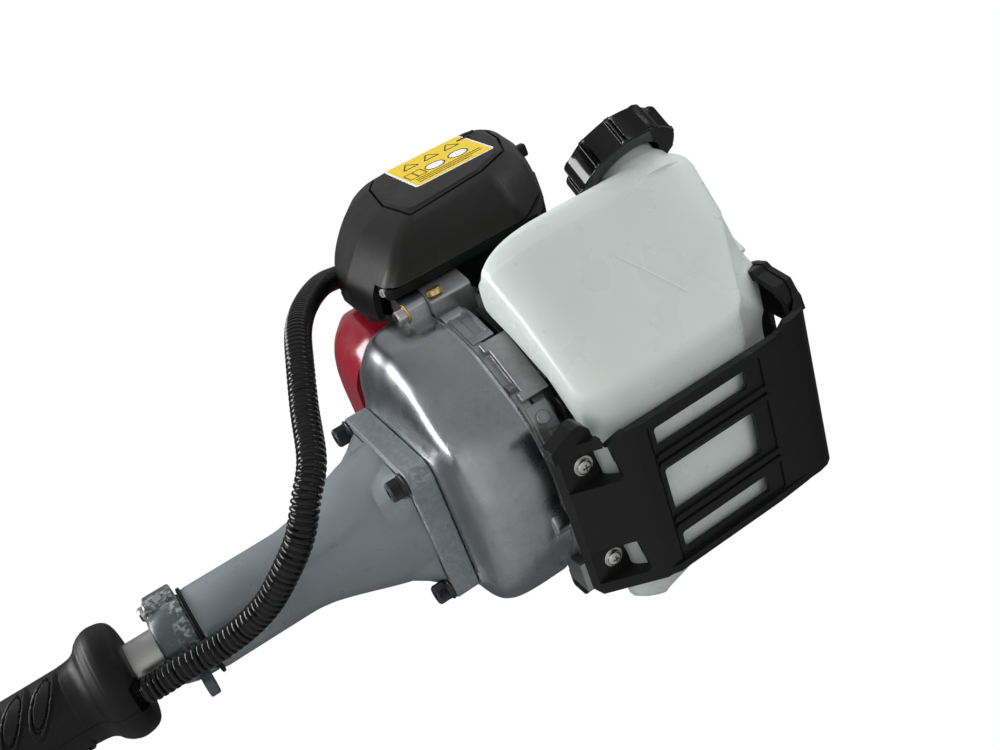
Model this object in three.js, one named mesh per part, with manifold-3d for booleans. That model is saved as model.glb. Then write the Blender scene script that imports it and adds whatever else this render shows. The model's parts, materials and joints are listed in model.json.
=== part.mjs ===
// Hand-held power trowel: a pole with a small four-stroke engine at its upper end and a
// worm-geared rotor with four steel blades inside a guard ring at its lower end.
// Units are millimetres, +Z up, origin on the ground at the middle of the whole tool's outline.
// The pole rises towards +X; the engine's intake side faces -Y.
import * as THREE from 'three';
import { mergeVertices } from 'three/addons/utils/BufferGeometryUtils.js';
import Module from 'manifold-3d';

const wasm = await Module();
wasm.setup();

// ---- driving dimensions ----
const GAP = 0.3;                 // clearance between neighbouring pieces
const ROTOR_X = -503.53;         // rotor axis, behind the middle of the outline

const POLE_TILT = 40;            // degrees from the ground to the pole axis
const POLE_R = 13;
const POLE_WALL = 1.5;
const POLE_BORE_R = POLE_R + GAP; // hole in any piece that sits on the pole
const FLANGE_TO_ELBOW = 1400;    // from the engine flange along the pole to the gearbox elbow

const WORM_CENTRES = 39;         // worm axis to rotor axis
const WORM_Y = -WORM_CENTRES;
const WORM_Z = 132;              // worm axis above the ground
const ELBOW_X = 62;              // where the pole axis meets the worm axis
const WHEEL_TEETH = 28;
const WHEEL_PITCH_R = 30;
const ARM_Z = 27;                // height of the blade pivots
const BLADE_T = 2.5;
const RING_R = 318;              // guard ring centreline radius
const RING_TUBE_R = 9;
const RING_Z = 62;
const STAY_Z = 88;               // level part of the guard ring stays

const FLANGE_HALF = 40.5;        // square engine flange, half side
const BOLT_HALF = 33.5;          // flange bolts, half spacing
const PARTING_X = 45;            // joint between fan cover and crankcase
const CYL_X = 85;                // cylinder axis
const CYL_BASE_Y = 44;           // joint between crankcase and cylinder
const PORT_Y = 76;               // axis of the intake and exhaust ports
const PISTON_PIN_Y = 72;
const CRANKPIN_Y = 15;
const CLUTCH_POST_Y = 19;
const CLUTCH_DRUM_R = 33;
const CARB_Z = 56;
const PRIMER_X = 76;
const MUFFLER_STUB = [52, -70];  // y, z
const PULL_XY = [133, 18];       // axis of the recoil handle
const FRONT_HANDLE_X = -760;
const GUARD_SCREW_X = 53;
const GUARD_SCREW_Z = [28, -28];

const CAP_AXIS = [0, 0.753, 0.658];
const CAP_R = 24.6;
const CAP_H = 16.5;
const CAP_RIBS = 10;
const CAP_BASE = [159.5, -12, 107.5];
const TANK_LEAN = 29;            // how far the tank's rear face leans in at the bottom

// ---- helpers ----
const D2R = Math.PI / 180;
const { clamp, smoothstep } = THREE.MathUtils;
const vec = (x, y, z) => new THREE.Vector3(x, y, z);
const onCircle = (r, degrees) => [r * Math.cos(degrees * D2R), r * Math.sin(degrees * D2R)];
const join = (...solids) => solids.reduce((a, b) => a.add(b));
const cut = (body, ...tools) => tools.reduce((a, b) => a.subtract(b), body);

function signedVolume(geometry) {
  const { position } = geometry.attributes;
  const { index } = geometry;
  const [a, b, c] = [vec(), vec(), vec()];
  let sum = 0;
  for (let i = 0; i < index.count; i += 3) {
    a.fromBufferAttribute(position, index.getX(i));
    b.fromBufferAttribute(position, index.getX(i + 1));
    c.fromBufferAttribute(position, index.getX(i + 2));
    sum += a.dot(b.cross(c)) / 6;
  }
  return sum;
}

// A closed three.js geometry becomes a solid, with its faces turned outwards.
function solid(geometry) {
  for (const key of Object.keys(geometry.attributes)) {
    if (key !== 'position') geometry.deleteAttribute(key);
  }
  const merged = mergeVertices(geometry, 1e-4);
  const index = merged.index.array;
  const kept = [];
  for (let i = 0; i < index.length; i += 3) {
    const [a, b, c] = [index[i], index[i + 1], index[i + 2]];
    if (a !== b && b !== c && a !== c) kept.push(a, b, c);
  }
  merged.setIndex(kept);
  if (signedVolume(merged) < 0) {
    for (let i = 0; i < kept.length; i += 3) [kept[i], kept[i + 1]] = [kept[i + 1], kept[i]];
  }
  return new wasm.Manifold(new wasm.Mesh({
    numProp: 3,
    vertProperties: new Float32Array(merged.attributes.position.array),
    triVerts: new Uint32Array(kept),
  }));
}

function box(x0, x1, y0, y1, z0, z1) {
  return solid(new THREE.BoxGeometry(x1 - x0, y1 - y0, z1 - z0)
    .translate((x0 + x1) / 2, (y0 + y1) / 2, (z0 + z1) / 2));
}

const fromYTo = (axis) => new THREE.Quaternion().setFromUnitVectors(vec(0, 1, 0), axis);

// A rod with n facets from one point to another; a cone if endR differs from r.
function rod(from, to, r, n, endR = r) {
  const start = vec(...from);
  const end = vec(...to);
  const along = end.clone().sub(start);
  const g = new THREE.CylinderGeometry(endR, r, along.length(), n);
  g.applyQuaternion(fromYTo(along.normalize()));
  g.translate(...start.add(end).multiplyScalar(0.5));
  return solid(g);
}

// Rods parallel to an axis: the two ends, then the place in the other two coordinates.
const rodX = (x0, x1, y, z, r, n) => rod([x0, y, z], [x1, y, z], r, n);
const rodY = (y0, y1, x, z, r, n) => rod([x, y0, z], [x, y1, z], r, n);
const rodZ = (z0, z1, x, y, r, n) => rod([x, y, z0], [x, y, z1], r, n);

// A turned shape about an axis: profile is [radius, distance along axis] pairs.
function turned(origin, axis, profile, n) {
  const points = profile.map(([r, h]) => new THREE.Vector2(r, h));
  if (profile[0][0] > 1e-6 || profile.at(-1)[0] > 1e-6) points.push(points[0].clone());
  const g = new THREE.LatheGeometry(points, n);
  g.applyQuaternion(fromYTo(vec(...axis).normalize()));
  g.translate(...origin);
  return solid(g);
}

// Turned about the x axis, the cylinder axis (along y) and the z axis.
const turnX = (profile, n) => turned([0, 0, 0], [1, 0, 0], profile, n);
const turnCylinder = (profile, n) => turned([CYL_X, 0, 0], [0, 1, 0], profile, n);
const turnZ = (profile, n) => turned([0, 0, 0], [0, 0, 1], profile, n);

const toShape = (points) => new THREE.Shape(points.map(([u, v]) => new THREE.Vector2(u, v)));

// An outline pushed along one axis. The outline's pairs are (y,z), (z,x) or (x,y).
function prism(axis, points, start, end) {
  const g = new THREE.ExtrudeGeometry(toShape(points), { depth: end - start, bevelEnabled: false });
  const turn = new THREE.Matrix4();
  if (axis === 'x') turn.makeBasis(vec(0, 1, 0), vec(0, 0, 1), vec(1, 0, 0));
  if (axis === 'y') turn.makeBasis(vec(0, 0, 1), vec(1, 0, 0), vec(0, 1, 0));
  g.applyMatrix4(turn);
  g.translate(axis === 'x' ? start : 0, axis === 'y' ? start : 0, axis === 'z' ? start : 0);
  return solid(g);
}

// A closed outline whose radius depends on the angle (radians), about (centreX, 0).
function polarPoints(count, radiusAt, centreX = 0) {
  return Array.from({ length: count }, (_, i) => {
    const t = (i / count) * 2 * Math.PI;
    return [centreX + radiusAt(t) * Math.cos(t), radiusAt(t) * Math.sin(t)];
  });
}

// Rounded rectangle outline: centre, half sides, corner radius, segments per corner.
function roundedRect(cx, cy, halfX, halfY, r, segments) {
  const points = [];
  for (const [sx, sy, start] of [[1, 1, 0], [-1, 1, 90], [-1, -1, 180], [1, -1, 270]]) {
    for (let i = 0; i <= segments; i++) {
      const [dx, dy] = onCircle(r, start + (90 * i) / segments);
      points.push([cx + sx * (halfX - r) + dx, cy + sy * (halfY - r) + dy]);
    }
  }
  return points;
}

// Cuts each corner of an outline, this fraction of the way along both its sides.
function soften(points, fraction = 0.25) {
  return points.flatMap(([x, y], i) => {
    const [nextX, nextY] = points[(i + 1) % points.length];
    return [fraction, 1 - fraction].map((f) => [x + (nextX - x) * f, y + (nextY - y) * f]);
  });
}

// Triangles that close a flat ring, as indices into the ring.
function capTriangles(ring) {
  const points = ring.map((p) => vec(...p));
  const centre = points.reduce((sum, p) => sum.add(p), vec()).multiplyScalar(1 / points.length);
  const arms = points.map((p) => p.clone().sub(centre));
  const normal = vec();
  arms.forEach((arm, i) => normal.add(arm.clone().cross(arms[(i + 1) % arms.length])));
  normal.normalize();
  const e1 = arms[0].clone().normalize();
  const e2 = normal.clone().cross(e1);
  const flat = arms.map((arm) => new THREE.Vector2(arm.dot(e1), arm.dot(e2)));
  return THREE.ShapeUtils.triangulateShape(flat, []);
}

// A skin over rings of equal count, closed with flat ends.
function loft(rings) {
  const n = rings[0].length;
  const index = [];
  for (let k = 0; k + 1 < rings.length; k++) {
    for (let i = 0; i < n; i++) {
      const j = (i + 1) % n;
      const [a, b, c, d] = [k * n + i, k * n + j, (k + 1) * n + j, (k + 1) * n + i];
      index.push(a, b, c, a, c, d);
    }
  }
  const last = (rings.length - 1) * n;
  for (const [a, b, c] of capTriangles(rings[0])) index.push(b, a, c);
  for (const [a, b, c] of capTriangles(rings.at(-1))) index.push(last + a, last + b, last + c);
  const g = new THREE.BufferGeometry();
  g.setAttribute('position', new THREE.Float32BufferAttribute(rings.flat(2), 3));
  g.setIndex(index);
  return solid(g);
}

// A bar with n facets along a smooth path.
function bar(points, r, steps, n, closed = false) {
  const path = points.map((p) => vec(...p));
  const extrudePath = new THREE.CatmullRomCurve3(path, closed, 'centripetal');
  const section = toShape(polarPoints(n, () => r));
  return solid(new THREE.ExtrudeGeometry(section, { steps, extrudePath, bevelEnabled: false }));
}

// ---- frames ----
const tool = new THREE.Group();
// Rotor frame: origin on the ground under the rotor axis.
const rotorFrame = new THREE.Group();
rotorFrame.position.x = ROTOR_X;
tool.add(rotorFrame);

// Engine frame: origin at the flange, x along the pole to the engine's rear, y engine up,
// z to the intake side.
const engineFrame = new THREE.Group();
const [tiltCos, tiltSin] = onCircle(1, POLE_TILT);
const poleAxis = vec(tiltCos, 0, tiltSin);
const engineUp = vec(-tiltSin, 0, tiltCos);
const elbow = vec(ELBOW_X, WORM_Y, WORM_Z);
engineFrame.quaternion.setFromRotationMatrix(
  new THREE.Matrix4().makeBasis(poleAxis, engineUp, vec(0, -1, 0)));
engineFrame.position.copy(elbow).addScaledVector(poleAxis, FLANGE_TO_ELBOW);
rotorFrame.add(engineFrame);

// ---- finishes: colour, roughness, metalness ----
const FINISH = {
  cast: [0x9a9c9c, 0.42, 0.9],
  castDark: [0x7d8082, 0.5, 0.85],
  steel: [0xb4b6b8, 0.3, 1.0],
  blackOxide: [0x1d1d1f, 0.4, 0.8],
  zinc: [0xc4c6c8, 0.28, 1.0],
  greyPaint: [0x6d767c, 0.38, 0.2],
  clampGreen: [0x4b5658, 0.45, 0.5],
  tube: [0x9a9a98, 0.4, 0.8],
  rubber: [0x1c1c1d, 0.72, 0.0],
  blackPlastic: [0x18191b, 0.42, 0.0],
  glossBlack: [0x0e0f11, 0.18, 0.0],
  charcoal: [0x3a3836, 0.55, 0.0],
  tank: [0xd5dad8, 0.32, 0.0],
  red: [0x8f1020, 0.3, 0.0],
  foam: [0x3c3f42, 0.95, 0.0],
  bronze: [0xa77843, 0.4, 0.9],
  friction: [0x4c4641, 0.85, 0.0],
  blade: [0x8d9092, 0.35, 1.0],
  ringPaint: [0xd08a1c, 0.4, 0.2],
  gearbox: [0x575d61, 0.5, 0.6],
  porcelain: [0xe8e8e4, 0.2, 0.0],
  rubberRed: [0x9c1c1c, 0.5, 0.0],
  clear: [0xd9dcd2, 0.2, 0.0],
};

function addMesh(parent, name, body, finish) {
  const { vertProperties, triVerts } = body.getMesh();
  const g = new THREE.BufferGeometry();
  g.setAttribute('position', new THREE.BufferAttribute(new Float32Array(vertProperties), 3));
  g.setIndex(new THREE.BufferAttribute(new Uint32Array(triVerts), 1));
  g.computeVertexNormals();
  const [color, roughness, metalness] = FINISH[finish];
  const material = new THREE.MeshStandardMaterial({ color, roughness, metalness });
  const mesh = new THREE.Mesh(g, material);
  mesh.name = name;
  parent.add(mesh);
}
const addEngine = (name, body, finish) => addMesh(engineFrame, name, body, finish);
const addRotor = (name, body, finish) => addMesh(rotorFrame, name, body, finish);

// ================= engine, in its own frame =================

// Flange bolt places: y, z.
const FLANGE_BOLTS = [[1, 1], [-1, 1], [-1, -1], [1, -1]]
  .map(([i, j]) => [i * BOLT_HALF, j * BOLT_HALF]);

// Fan cover outline: degrees from engine down (-y) towards the intake side (+z), radius.
const COVER_RADII = [
  [0, 69], [20, 72], [38, 75.5], [55, 73.5], [75, 76], [95, 79], [112, 84], [128, 80],
  [150, 74], [180, 72], [210, 73], [240, 74], [270, 74.5], [295, 73], [320, 70], [340, 69],
  [360, 69],
];
const COVER_POINTS = 26;

function coverRadius(degrees) {
  const next = COVER_RADII.findIndex(([angle]) => angle > degrees);
  const [a0, r0] = COVER_RADII[next - 1];
  const [a1, r1] = COVER_RADII[next];
  return r0 + (r1 - r0) * smoothstep(degrees, a0, a1);
}

// Blends from the rounded square boss (blend 0) to the full outline (blend 1).
function coverRing([x, blend, inset]) {
  return Array.from({ length: COVER_POINTS }, (_, i) => {
    const degrees = (i / COVER_POINTS) * 360;
    const [down, side] = onCircle(1, degrees);
    const square = 43.5 / (Math.abs(down) ** 7 + Math.abs(side) ** 7) ** (1 / 7);
    const r = (1 - blend) * Math.min(square, 55) + blend * coverRadius(degrees) - inset;
    return [x, -r * down, r * side];
  });
}

// Stations are [x, blend, inset].
const coverLoft = (stations) => loft(stations.map(coverRing));

// Fan cover: a domed cast shell with a square boss for the flange and a skirt to the joint.
function fanCover() {
  const outer = coverLoft([
    [GAP, 0, 0.5], [2.5, 0.1, 0], [6, 0.5, 0], [10, 0.72, 0],
    [16, 0.88, 0], [24, 0.965, 0], [33, 1, 0], [PARTING_X, 1, 0],
  ]);
  const inner = coverLoft([[6.5, 0.2, 3.5], [12, 0.72, 4], [20, 0.9, 4], [46, 1, 4.5]]);
  const sideBoss = prism('x', soften([[14, 66], [33, 66], [35, 84], [30, 92], [16, 88]]),
    33, PARTING_X);
  const lowerBoss = rodX(36, PARTING_X, -62, -8, 9, 10);
  const opening = rodX(-1, 8, 0, 0, 34.6, 22);
  const boltHoles = FLANGE_BOLTS.map(([y, z]) => rodX(-1, 12, y, z, 3.3, 8));
  return cut(join(outer, sideBoss, lowerBoss), inner, opening, ...boltHoles);
}
addEngine('fan_cover', fanCover(), 'cast');

// Crankcase: rim behind the fan cover, narrower case behind it, feet and bosses.
function crankcase() {
  const rim = coverLoft([[PARTING_X + GAP, 1, 1.5], [52, 1, 1.5], [56, 1, 7]]);
  const rimHollow = coverLoft([[44, 1, 6], [50, 1, 6]]);
  const block = prism('x', soften([
    [-58, -42], [-58, 42], [-40, 58], [30, 58], [44, 44], [44, -44], [30, -58], [-40, -58],
  ]), 50, 108);
  const sideBoss = prism('x', soften([[10, 60], [33, 60], [35, 84], [30, 93], [10, 88]]),
    PARTING_X + GAP, 68);
  const feet = join(
    box(52, 66, -66, -56, 18, 38),
    box(52, 66, -66, -56, -38, -18),
    box(45.5, 60, -60, -44, -64, -46),
    box(46, 64, -48, -20, 40, 58));
  const chamber = rodX(60, 109, 0, 0, 36.5, 20);
  const bearing = rodX(40, 62, 0, 0, 9.2, 16);
  const cylinderMouth = rodY(30, 50, CYL_X, 0, 21.5, 16);
  return cut(join(rim, block, sideBoss, feet), rimHollow, chamber, bearing, cylinderMouth);
}
addEngine('crankcase', crankcase(), 'cast');

// Cylinder with square cooling fins, bore open to the crank chamber.
function cylinderBlock() {
  const base = CYL_BASE_Y + GAP;
  const fins = [28, 28, 33, 33, 33].map((half, k) => {
    const y = 60 + k * 9.6;
    return box(CYL_X - half, CYL_X + half, y, y + 2.4, -half, half);
  });
  const body = join(rodY(base, 104, CYL_X, 0, 27, 16), box(60, 107, base, 50, -30, 30), ...fins,
    box(66, 104, 62, 90, 26, 36.5),
    box(66, 104, 62, 90, -38.5, -26));
  const bore = rodY(43, 96, CYL_X, 0, 19.6, 20);
  const intake = rodZ(0, 38, CYL_X, PORT_Y, 7, 10);
  const exhaust = rodZ(0, -40, CYL_X, PORT_Y, 8, 10);
  const plugHole = rodY(95, 105, CYL_X, 0, 4.3, 10);
  return cut(body, bore, intake, exhaust, plugHole);
}
addEngine('cylinder_block', cylinderBlock(), 'castDark');

// Piston and connecting rod, shown at top dead centre.
function piston() {
  const crown = cut(rodY(64, 92, CYL_X, 0, 19.2, 20), rodY(63, 86, CYL_X, 0, 16, 14),
    turnCylinder([[18.2, 87], [19.5, 87], [19.5, 88.2], [18.2, 88.2]], 20));
  const pinBosses = [[68.5, 79], [91, 101.5]]
    .map(([x0, x1]) => rodX(x0, x1, PISTON_PIN_Y, 0, 5, 8));
  return cut(join(crown, ...pinBosses), rodX(60, 110, PISTON_PIN_Y, 0, 3.2, 8));
}
addEngine('piston', piston(), 'steel');

function connectingRod() {
  const bigEnd = rodX(81, 89, CRANKPIN_Y, 0, 10, 14);
  const smallEnd = rodX(81, 89, PISTON_PIN_Y, 0, 6.5, 10);
  const shank = box(82.5, 87.5, 22, 68, -3.6, 3.6);
  return cut(join(bigEnd, smallEnd, shank),
    rodX(80, 90, CRANKPIN_Y, 0, 6.4, 10),
    rodX(80, 90, PISTON_PIN_Y, 0, 3.3, 8));
}
addEngine('connecting_rod', connectingRod(), 'steel');

// Crankshaft halves: journals with full-disc webs either side of the rod.
addEngine('crankshaft_front', turnX([
  [0, -5], [6, -5], [6, 22], [8.6, 22], [8.6, 62], [31.5, 62.5], [31.5, 76], [0, 76],
], 16), 'steel');
addEngine('crankshaft_rear', turnX([
  [0, 94], [31.5, 94], [31.5, 106], [8.6, 106.5], [8.6, 122], [5, 122], [5, 128], [0, 128],
], 16), 'steel');

// Flywheel with fan vanes and two posts for the clutch shoes.
function flywheel() {
  const vaneCount = 9;
  const disc = cut(turnX([
    [6.6, 12], [13, 12], [15, 26], [57, 30], [57, 41], [30, 42], [6.6, 42],
  ], 22), rodX(21, 43, 0, 0, 9.2, 16));
  const vanes = Array.from({ length: vaneCount }, (_, k) => {
    const [c, s] = onCircle(1, (k / vaneCount) * 360);
    const outline = [[34, -1.2], [57, -1.2], [57, 1.2], [34, 1.2]]
      .map(([r, w]) => [r * c - w * s, r * s + w * c]);
    return prism('x', outline, 19, 31);
  });
  const posts = [1, -1].map((side) => rodX(-7, 29, side * CLUTCH_POST_Y, 0, 3.4, 8));
  return join(disc, ...vanes, ...posts);
}
addEngine('flywheel', flywheel(), 'castDark');

// Centrifugal clutch shoe on one post; side is +1 or -1 along y.
function clutchShoe(side) {
  const arc = (r, half) => Array.from({ length: 11 }, (_, i) =>
    onCircle(r, -half + (2 * half * i) / 10));
  const outline = [...arc(29, 72), ...arc(12.5, 66).reverse()];
  return cut(prism('x', outline.map(([y, z]) => [side * y, side * z]), -6, 6),
    rodX(-8, 8, side * CLUTCH_POST_Y, 0, 3.7, 10));
}
addEngine('clutch_shoe_1', clutchShoe(1), 'friction');
addEngine('clutch_shoe_2', clutchShoe(-1), 'friction');
addEngine('clutch_drum', turnX([
  [5.2, -62], [8, -62], [8, -19], [CLUTCH_DRUM_R, -16], [CLUTCH_DRUM_R, 7], [30.6, 7],
  [30.6, -13.5], [5.2, -13.5],
], 22), 'steel');
addEngine('drum_bearing', turnX([[8.3, -55], [15.2, -55], [15.2, -43], [8.3, -43]], 16), 'steel');

// Red top shroud over the cylinder. Stations: x, lowest y, highest y, half width, corner radius.
const SHROUD_OUTER = [
  [9, 72, 112, 30, 18], [10.5, 66, 118, 36, 22], [14, 58, 126, 44, 28], [20, 52, 133, 51, 32],
  [30, 46, 138, 57, 34], [122, 46, 138, 58, 30], [134, 50, 134, 54, 26],
];
const SHROUD_INNER = [
  [14.5, 66, 116, 36, 22], [20, 58, 126, 44, 27], [31, 49.5, 133.8, 53.3, 31],
  [122, 49.5, 133.8, 54.3, 27], [135, 53, 131, 51, 24],
];
function topShroud() {
  const ring = ([x, y0, y1, halfZ, r]) =>
    roundedRect((y0 + y1) / 2, 0, (y1 - y0) / 2, halfZ, r, 4).map(([y, z]) => [x, y, z]);
  return cut(loft(SHROUD_OUTER.map(ring)), loft(SHROUD_INNER.map(ring)),
    box(0, 150, 30, 60, -70, 70),          // open bottom
    rodX(-1, 46, 0, 0, 84.5, 28),          // room for the fan cover
    box(46, 150, 60, 112, 43, 70),         // intake side
    box(46, 130, 56, 105, -70, -45),       // exhaust side
    rodY(120, 140, CYL_X, 0, 15, 14));     // plug hole
}
addEngine('top_shroud', topShroud(), 'red');

addEngine('spark_plug', turnCylinder([
  [0, 96.5], [4, 96.5], [4, 105], [8, 105.3], [8, 110], [5, 110], [5, 127], [2.5, 128],
  [2.5, 132], [0, 132],
], 10), 'porcelain');

function plugCap() {
  const cap = turnCylinder([[0, 118], [9, 118], [9.5, 134], [7, 138.5], [0, 139]], 10);
  const lead = rod([CYL_X, 127, 0], [CYL_X, 125, -24], 5, 8, 4.4);
  return cut(join(cap, lead), rodY(117, 133, CYL_X, 0, 5.4, 10));
}
addEngine('plug_cap', plugCap(), 'rubber');

// Exhaust side.
function muffler() {
  const body = join(prism('z', roundedRect(88, 70, 33, 23, 8, 2), -88, -44),
    rodZ(-48, -39, CYL_X, PORT_Y, 11, 10),
    rodX(112, 128, ...MUFFLER_STUB, 5, 8));
  return cut(body, rodZ(-38, -60, CYL_X, PORT_Y, 7, 8), rodX(112, 129, ...MUFFLER_STUB, 3.4, 8));
}
addEngine('muffler', muffler(), 'castDark');

function mufflerGuard() {
  const slots = [0, 1, 2, 3].map((k) => box(58, 118, 44 + k * 12, 49.5 + k * 12, -108, -100));
  return cut(prism('z', roundedRect(88, 66, 42, 34, 10, 2), -106, -91),
    prism('z', roundedRect(88, 66, 39, 31, 8, 2), -103, -90), ...slots);
}
addEngine('muffler_guard', mufflerGuard(), 'blackPlastic');

// Intake side: carburettor, cleaner base, filter and cover.
function carburetor() {
  const body = join(
    box(68, 102, 62, 90, 36.8, 46),
    box(68, 102, 60, 92, 44.3, 68),
    rodY(60.5, 48, PRIMER_X, CARB_Z, 11, 10),
    rodY(91, 100, 94, CARB_Z, 6, 8));
  return cut(body, rodZ(36, 69, CYL_X, PORT_Y, 7, 10), rodY(47, 56.5, PRIMER_X, CARB_Z, 9, 10));
}
addEngine('carburetor', carburetor(), 'castDark');
addEngine('primer_bulb', turned([PRIMER_X, 45.5, CARB_Z], [0, -1, 0], [
  [0, -5.2], [8.6, -5.2], [8.6, 2], [6.8, 6.5], [3.4, 9.2], [0, 9.8],
], 10), 'clear');

const filterBlock = (halfX, halfY, r, z0, z1) =>
  prism('z', roundedRect(88, 82, halfX, halfY, r, 2), z0, z1);

function airCleanerBase() {
  const plate = prism('z', soften([
    [36, 46], [27, 62], [28, 104], [42, 118], [140, 118], [148, 100], [146, 62], [136, 46],
  ]), 68.3, 73);
  const wall = cut(filterBlock(46, 29, 8, 72, 84), filterBlock(43.4, 26.4, 6, 71, 85));
  const lip = join(box(50, 128, 38, 45, 72, 93), box(46, 136, 44, 50, 70, 76));
  return cut(join(plate, wall, lip), rodZ(67, 74, CYL_X, PORT_Y, 7.5, 10));
}
addEngine('air_cleaner_base', airCleanerBase(), 'blackPlastic');
addEngine('air_filter', filterBlock(42.8, 25.8, 6, 73.4, 90), 'foam');

// Air cleaner cover: a dome whose outline steps in towards a flat outer face. Rows: z, (x, y)s.
const CLEANER_OUTLINES = [
  [78, [[25, 40], [23, 70], [28, 104], [46, 121], [140, 121],
    [150, 104], [149, 72], [136, 44], [116, 22], [35, 22]]],
  [90, [[27, 30], [25, 70], [31, 104], [49, 123], [142, 123],
    [152, 104], [150, 72], [136, 42], [114, 20], [33, 20]]],
  [102, [[35, 30], [33, 70], [39, 106], [55, 124], [145, 124],
    [153, 106], [149, 74], [136, 46], [112, 25], [41, 24]]],
  [112, [[46, 36], [43, 70], [49, 106], [61, 123], [146, 123],
    [152, 106], [147, 78], [137, 54], [112, 37], [50, 32]]],
  [117, [[55, 42], [53, 70], [58, 104], [68, 120], [144, 120],
    [148, 106], [144, 80], [135, 61], [112, 46], [59, 39]]],
  [120, [[64, 50], [62, 70], [67, 100], [76, 114], [138, 114],
    [141, 104], [138, 84], [130, 66], [110, 54], [67, 48]]],
];
function airCleanerCover() {
  const [cx, cy] = [90, 75];
  const outer = CLEANER_OUTLINES.map(([z, outline]) =>
    soften(outline, 0.22).map(([x, y]) => [x, y, z]));
  // The hollow: every ring but the last, drawn towards the centre and lowered.
  const inner = outer.slice(0, -1).map((ring, i) => ring.map(([x, y, z]) => {
    const d = Math.hypot(x - cx, y - cy);
    const scale = (d - (3 + i * 0.3)) / d;
    const drop = i === 0 ? 2 : 0.4 + i * 0.1;
    return [cx + (x - cx) * scale, cy + (y - cy) * scale, z - drop];
  }));
  const lowerCut = prism('z', [
    [30, 10], [170, 10], [170, 60], [128, 46], [40, 40], [30, 38],
  ], 70, 97);
  return cut(loft(outer), loft(inner), lowerCut);
}
addEngine('air_cleaner_cover', airCleanerCover(), 'charcoal');
addEngine('choke_lever', join(rodX(112, 105.2, 76, 60, 3, 8), box(109, 112.5, 74, 104, 57, 63)),
  'blackPlastic');
addEngine('oil_filler_cap', join(rodZ(62, 70, 92, -8, 9, 6), rodZ(58.4, 63, 92, -8, 7, 10)),
  'blackPlastic');

// Recoil starter at the rear.
function recoilHousing() {
  const outer = turnX([[0, 158], [34, 158], [50, 150], [55, 138], [55, 113.6], [0, 113.6]], 22);
  const inner = turnX([[0, 113], [51.5, 113], [51.5, 140], [44, 152], [0, 152]], 22);
  const vents = [30, 90, 150, 210, 270, 330]
    .map((degrees) => rodX(150, 162, ...onCircle(26, degrees), 6, 6));
  return cut(outer, inner, ...vents,
    box(126, 140, 12, 24, -70, -30),       // slot towards the handle
    box(100, 123, -60, -47, -60, 60));     // flat at the bottom
}
addEngine('recoil_housing', recoilHousing(), 'blackPlastic');
addEngine('recoil_pulley', cut(turnX([
  [5.4, 128], [40, 128], [40, 130], [31, 131.5], [31, 136.5], [40, 138], [40, 140], [5.4, 140],
], 20), rodX(127, 129.5, 0, 0, 6, 8)), 'blackPlastic');
addEngine('recoil_handle', join(rod([...PULL_XY, -73], [...PULL_XY, -60], 5.4, 10, 6.4),
  prism('z', roundedRect(...PULL_XY, 20, 6, 5, 2), -83, -72)), 'blackPlastic');

// Fuel tank: a cradle under the engine that rises on the intake side to the filler neck.
// Outline: y, z.
const TANK_OUTLINE = [
  [-96, -48], [-96.5, 0], [-96, 60], [-66, 88], [-38, 113], [-27, 119], [-20, 113], [-4, 95],
  [-3, 84], [-22, 76], [-52, 62], [-78, 40], [-78, 0], [-78, -40], [-62, -66], [-68, -80],
  [-84, -74],
];
// Stations: x, inset from the outline.
const TANK_STATIONS = [
  [60, 15], [63, 10], [69, 5.5], [80, 1.5], [95, 0], [152, 0], [169, 2], [179, 7], [184, 14],
];
const TANK_CAVITY_STATIONS = [[64, 15], [74, 8], [90, 4.5], [155, 4.5], [172, 8], [180, 15]];

// Each point moves towards the section's centre line, so that thin parts shrink evenly.
function tankLoft(outline, stations) {
  return loft(stations.map(([x, inset]) => outline.map(([y, z]) => {
    const cy = -81 + clamp((z - 45) / 60, 0, 1) * 56;
    const cz = clamp(z, -55, 98);
    const d = Math.hypot(y - cy, z - cz);
    const scale = Math.max(0.12, (d - inset) / d);
    const low = clamp((-34 - y) / 62, 0, 1);
    const lean = (Math.max(0, x - 110) / 74) * TANK_LEAN * low * low;
    return [x - lean, cy + (y - cy) * scale, cz + (z - cz) * scale];
  })));
}

const alongCap = (h) => CAP_BASE.map((c, i) => c + CAP_AXIS[i] * h);

function fuelTank() {
  const neck = turned(CAP_BASE, CAP_AXIS,
    [[0, -14], [20, -14], [18, -1], [15.5, 2], [15.5, 14], [0, 14]], 16);
  const mouth = rod(alongCap(-12), alongCap(15), 12.5, 14);
  const body = tankLoft(soften(TANK_OUTLINE), TANK_STATIONS);
  return cut(join(body, neck), tankLoft(TANK_OUTLINE, TANK_CAVITY_STATIONS), mouth,
    box(179.2, 190, -96, -59, -50, 70));   // clears the tank guard's rear wall
}
addEngine('fuel_tank', fuelTank(), 'tank');

// Filler cap: ribbed skirt, hollow below.
function tankCap() {
  // One rib: fraction of the pitch, radius.
  const rib = [
    [0, CAP_R + 1.2], [0.14, CAP_R + 1.2], [0.2, CAP_R - 0.6], [0.57, CAP_R - 1.6],
    [0.94, CAP_R - 0.6],
  ];
  const outline = Array.from({ length: CAP_RIBS }, (_, k) =>
    rib.map(([f, r]) => onCircle(r, ((k + f) / CAP_RIBS) * 360))).flat();
  const skirt = new THREE.ExtrudeGeometry(toShape(outline), { depth: CAP_H, bevelEnabled: false });
  const across = vec(1, 0, 0);
  const axis = vec(...CAP_AXIS);
  skirt.applyMatrix4(new THREE.Matrix4().makeBasis(across, axis.clone().cross(across), axis));
  skirt.translate(...alongCap(2.5));
  return cut(solid(skirt), rod(alongCap(2), alongCap(16), 18.5, 20));
}
addEngine('tank_cap', tankCap(), 'glossBlack');

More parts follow.
